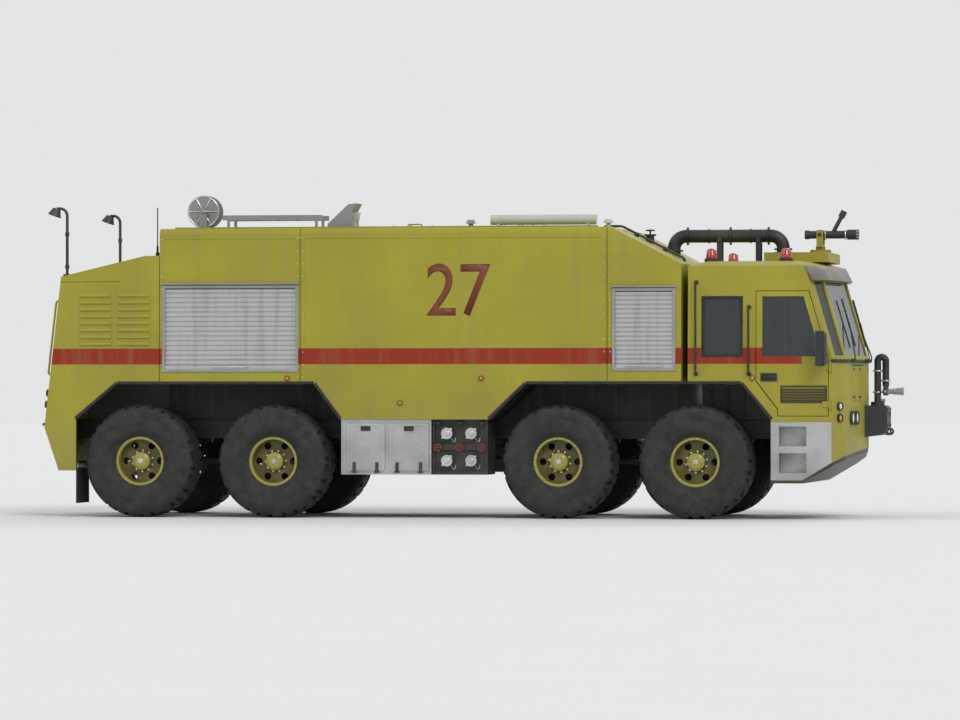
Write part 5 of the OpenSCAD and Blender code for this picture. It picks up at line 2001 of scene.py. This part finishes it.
def addDashboard():
    # instrument binnacle, screens, a row of switches and the pedals
    look = dashLook
    binnacle = boxBetween(look["binnacle"], 0.02, 3)
    stepFaces(binnacle, back, ((0.015, -look["hoodDepth"]),))
    parts = [binnacle]
    for y in look["screens"]:
        screen = boxBetween(look["screen"], 0.006, move=(0, y, 0))
        stepFaces(screen, back, ((0.01, -0.005),))
        parts.append(screen)
    parts += copyRow(boxBetween(look["switch"], 0.003), (0, -look["switchPitch"], 0), look["switches"])
    (x0, z0), (x1, z1) = look["lever"]
    for y in look["pedals"]:
        parts.append(boxBetween(look["pedal"], 0.004, move=(0, y, 0)))
        parts.append(addRod((at(x0), y, z0), (at(x1), y, z1), 0.012, 12, 0.002))
    return parts


finishPiece(addDashboard(), "dashControls", trim, smooth=35)
print("inside ready")

# nose: window seals, bracket fittings, hatches and intake slots

sealLook = {"window": (0.085, 0.585, 1.955, 2.685), "width": 0.03, "thick": 0.008}
bracketLook = {"x": 2.20, "eyes": (-0.15, 0.15), "eyeZ": 1.05, "bolts": (-0.19, 0.19), "boltZ": (1.13, 1.32)}


def addWindowSeal():
    x0, x1, z0, z1 = sealLook["window"]
    seal = addFrame(at(x0), at(x1), z0, z1, wall, sealLook["width"], sealLook["thick"], 0.003)

    def followWall(co):
        co.y += leanIn(co.z)

    reshape(seal, followWall)
    return seal


def addBracketFittings():
    # towing eyes and bolts of the nose bracket
    look = bracketLook
    x = at(look["x"])
    parts = [addRing((x, y, look["eyeZ"]), (0, 1, 0), 0.035, 0.012, 24, 10) for y in look["eyes"]]
    parts += [boltRow([(x, y, z) for z in look["boltZ"]], ahead, 0.012, 0.008) for y in look["bolts"]]
    return parts


finishPiece(addWindowSeal(), "windowSeals", flapRubber, smooth=30, paired=True)
finishPiece(addBracketFittings(), "bracketFittings", steel, smooth=40)

noseLook = {
    "hatchPlace": (-0.66, 1.62), "hatch": (0.24, 0.19), "latches": (-0.15, 0.15), "latchHalf": 0.035,
    "hingeHalf": 0.03, "slots": 7, "slotStart": -0.36, "slotPitch": 0.085, "slotZ": 1.855,
}


def layOnNose(piece, y, z):
    # turns a piece that faces ahead to lie on the nose's right half
    piece.rotation_euler = (0, 0, -math.atan(noseSlope))
    piece.location = (noseX(y), y, z)
    applyPlace(piece)
    return piece


def addNoseHatches():
    # service hatches on both halves of the nose, with their latches and hinges
    look = noseLook
    halfY, halfZ = look["hatch"]
    hatch = addBox((-0.004, -halfY, -halfZ), (0.008, halfY, halfZ), 0.006, 2)
    stepFaces(hatch, ahead, ((0.022, -0.004),))
    latches = []
    for y in look["latches"]:
        half, hinge = look["latchHalf"], look["hingeHalf"]
        latches.append(addBox((0.004, y - half, -0.165), (0.014, y + half, -0.135), 0.003))
        latches.append(addRod((0.008, y - hinge, 0.188), (0.008, y + hinge, 0.188), 0.010, 12, 0.002))
    hatch = layOnNose(hatch, *look["hatchPlace"])
    latches = layOnNose(joinAll(latches, "noseLatches"), *look["hatchPlace"])
    finishPiece(hatch, "noseHatches", plainLime, smooth=30, paired=True)
    finishPiece(latches, "noseLatches", trim, smooth=35, paired=True)


def addIntakeSlots():
    # air intake slots under the windscreen
    look = noseLook
    start = look["slotStart"]
    slot = layOnNose(addBox((-0.003, -0.030, -0.007), (0.006, 0.030, 0.007), 0.002), start, look["slotZ"])
    step = (noseX(start - look["slotPitch"]) - noseX(start), -look["slotPitch"], 0)
    return copyRow(slot, step, look["slots"])


addNoseHatches()
finishPiece(addIntakeSlots(), "intakeSlots", trim, smooth=30, paired=True)
print("nose ready")

# floor, light and camera

stageLook = {
    "floor": (0.80, 0.80, 0.79), "floorPatch": (0.785, 0.785, 0.78), "shown": (0.775, 0.78, 0.78),
    "sky": (0.97, 0.98, 1.0), "skyLight": 0.62, "lampDistance": 20,
    # direction to each lamp, its strength, and its angle in degrees
    "lamps": (((0.45, -0.72, 0.66), 1.15, 25), ((-0.60, -0.45, 0.60), 0.35, 30),
              ((0.25, 0.80, 0.60), 0.55, 30)),
}


def addFloor():
    clearSelection()
    bpy.ops.mesh.primitive_plane_add(size=400, location=(0, 0, -0.001))
    floor = bpy.context.object
    floor.name = "studioFloor"
    material, tree, shader, coords = newMaterial("studioFloorPaint")
    patch = noise(tree, coords, 0.8, 3)
    setColor(tree, shader, mixColor(tree, patch, stageLook["floor"], stageLook["floorPatch"]))
    setEven(shader, roughness=0.9, specular=0.1)
    floor.data.materials.append(material)


def addSky():
    # the world lights the truck evenly, and shows a pale backdrop to the camera, in metal and through glass
    world = bpy.data.worlds.new("studioWorld")
    bpy.context.scene.world = world
    world.use_nodes = True
    tree = world.node_tree
    lit = tree.nodes["Background"]
    shown = tree.nodes.new("ShaderNodeBackground")
    backgrounds = ((lit, stageLook["sky"], stageLook["skyLight"]), (shown, stageLook["shown"], 1.0))
    for background, color, strength in backgrounds:
        background.inputs["Color"].default_value = (*color, 1)
        background.inputs["Strength"].default_value = strength
    path = tree.nodes.new("ShaderNodeLightPath")
    seen = calc(tree, "MAXIMUM", path.outputs["Is Camera Ray"], path.outputs["Is Glossy Ray"])
    seen = calc(tree, "MAXIMUM", seen, path.outputs["Is Transmission Ray"])
    mix = tree.nodes.new("ShaderNodeMixShader")
    for socket, value in zip(mix.inputs, (seen, lit.outputs[0], shown.outputs[0])):
        tree.links.new(value, socket)
    tree.links.new(mix.outputs[0], tree.nodes["World Output"].inputs["Surface"])


def addLamps():
    for direction, strength, angle in stageLook["lamps"]:
        light = bpy.data.lights.new("softLamp", "SUN")
        light.angle = math.radians(angle)
        light.energy = strength
        lamp = bpy.data.objects.new("softLamp", light)
        lamp.location = Vector(direction) * stageLook["lampDistance"]
        lamp.rotation_euler = turnTo(direction)
        bpy.context.collection.objects.link(lamp)


cameraLook = {"azimuth": 10.0, "distance": 65.0, "height": 1.5, "target": (0.0, 0.0, 1.93),
              "frameWidth": 11.9, "sensor": 36}


def addCamera():
    # a long lens at the photograph's viewing angle
    look = cameraLook
    data = bpy.data.cameras.new("photoCamera")
    data.sensor_width = look["sensor"]
    data.lens = look["sensor"] * look["distance"] / look["frameWidth"]
    data.clip_end = 500
    camera = bpy.data.objects.new("photoCamera", data)
    swing, far = math.radians(look["azimuth"]), look["distance"]
    camera.location = (far * math.sin(swing), -far * math.cos(swing), look["height"])
    camera.rotation_euler = (Vector(look["target"]) - camera.location).to_track_quat("-Z", "Y").to_euler()
    bpy.context.collection.objects.link(camera)
    bpy.context.scene.camera = camera


addFloor()
addSky()
addLamps()
addCamera()
bpy.context.scene.view_settings.view_transform = "Standard"
print("stage ready")
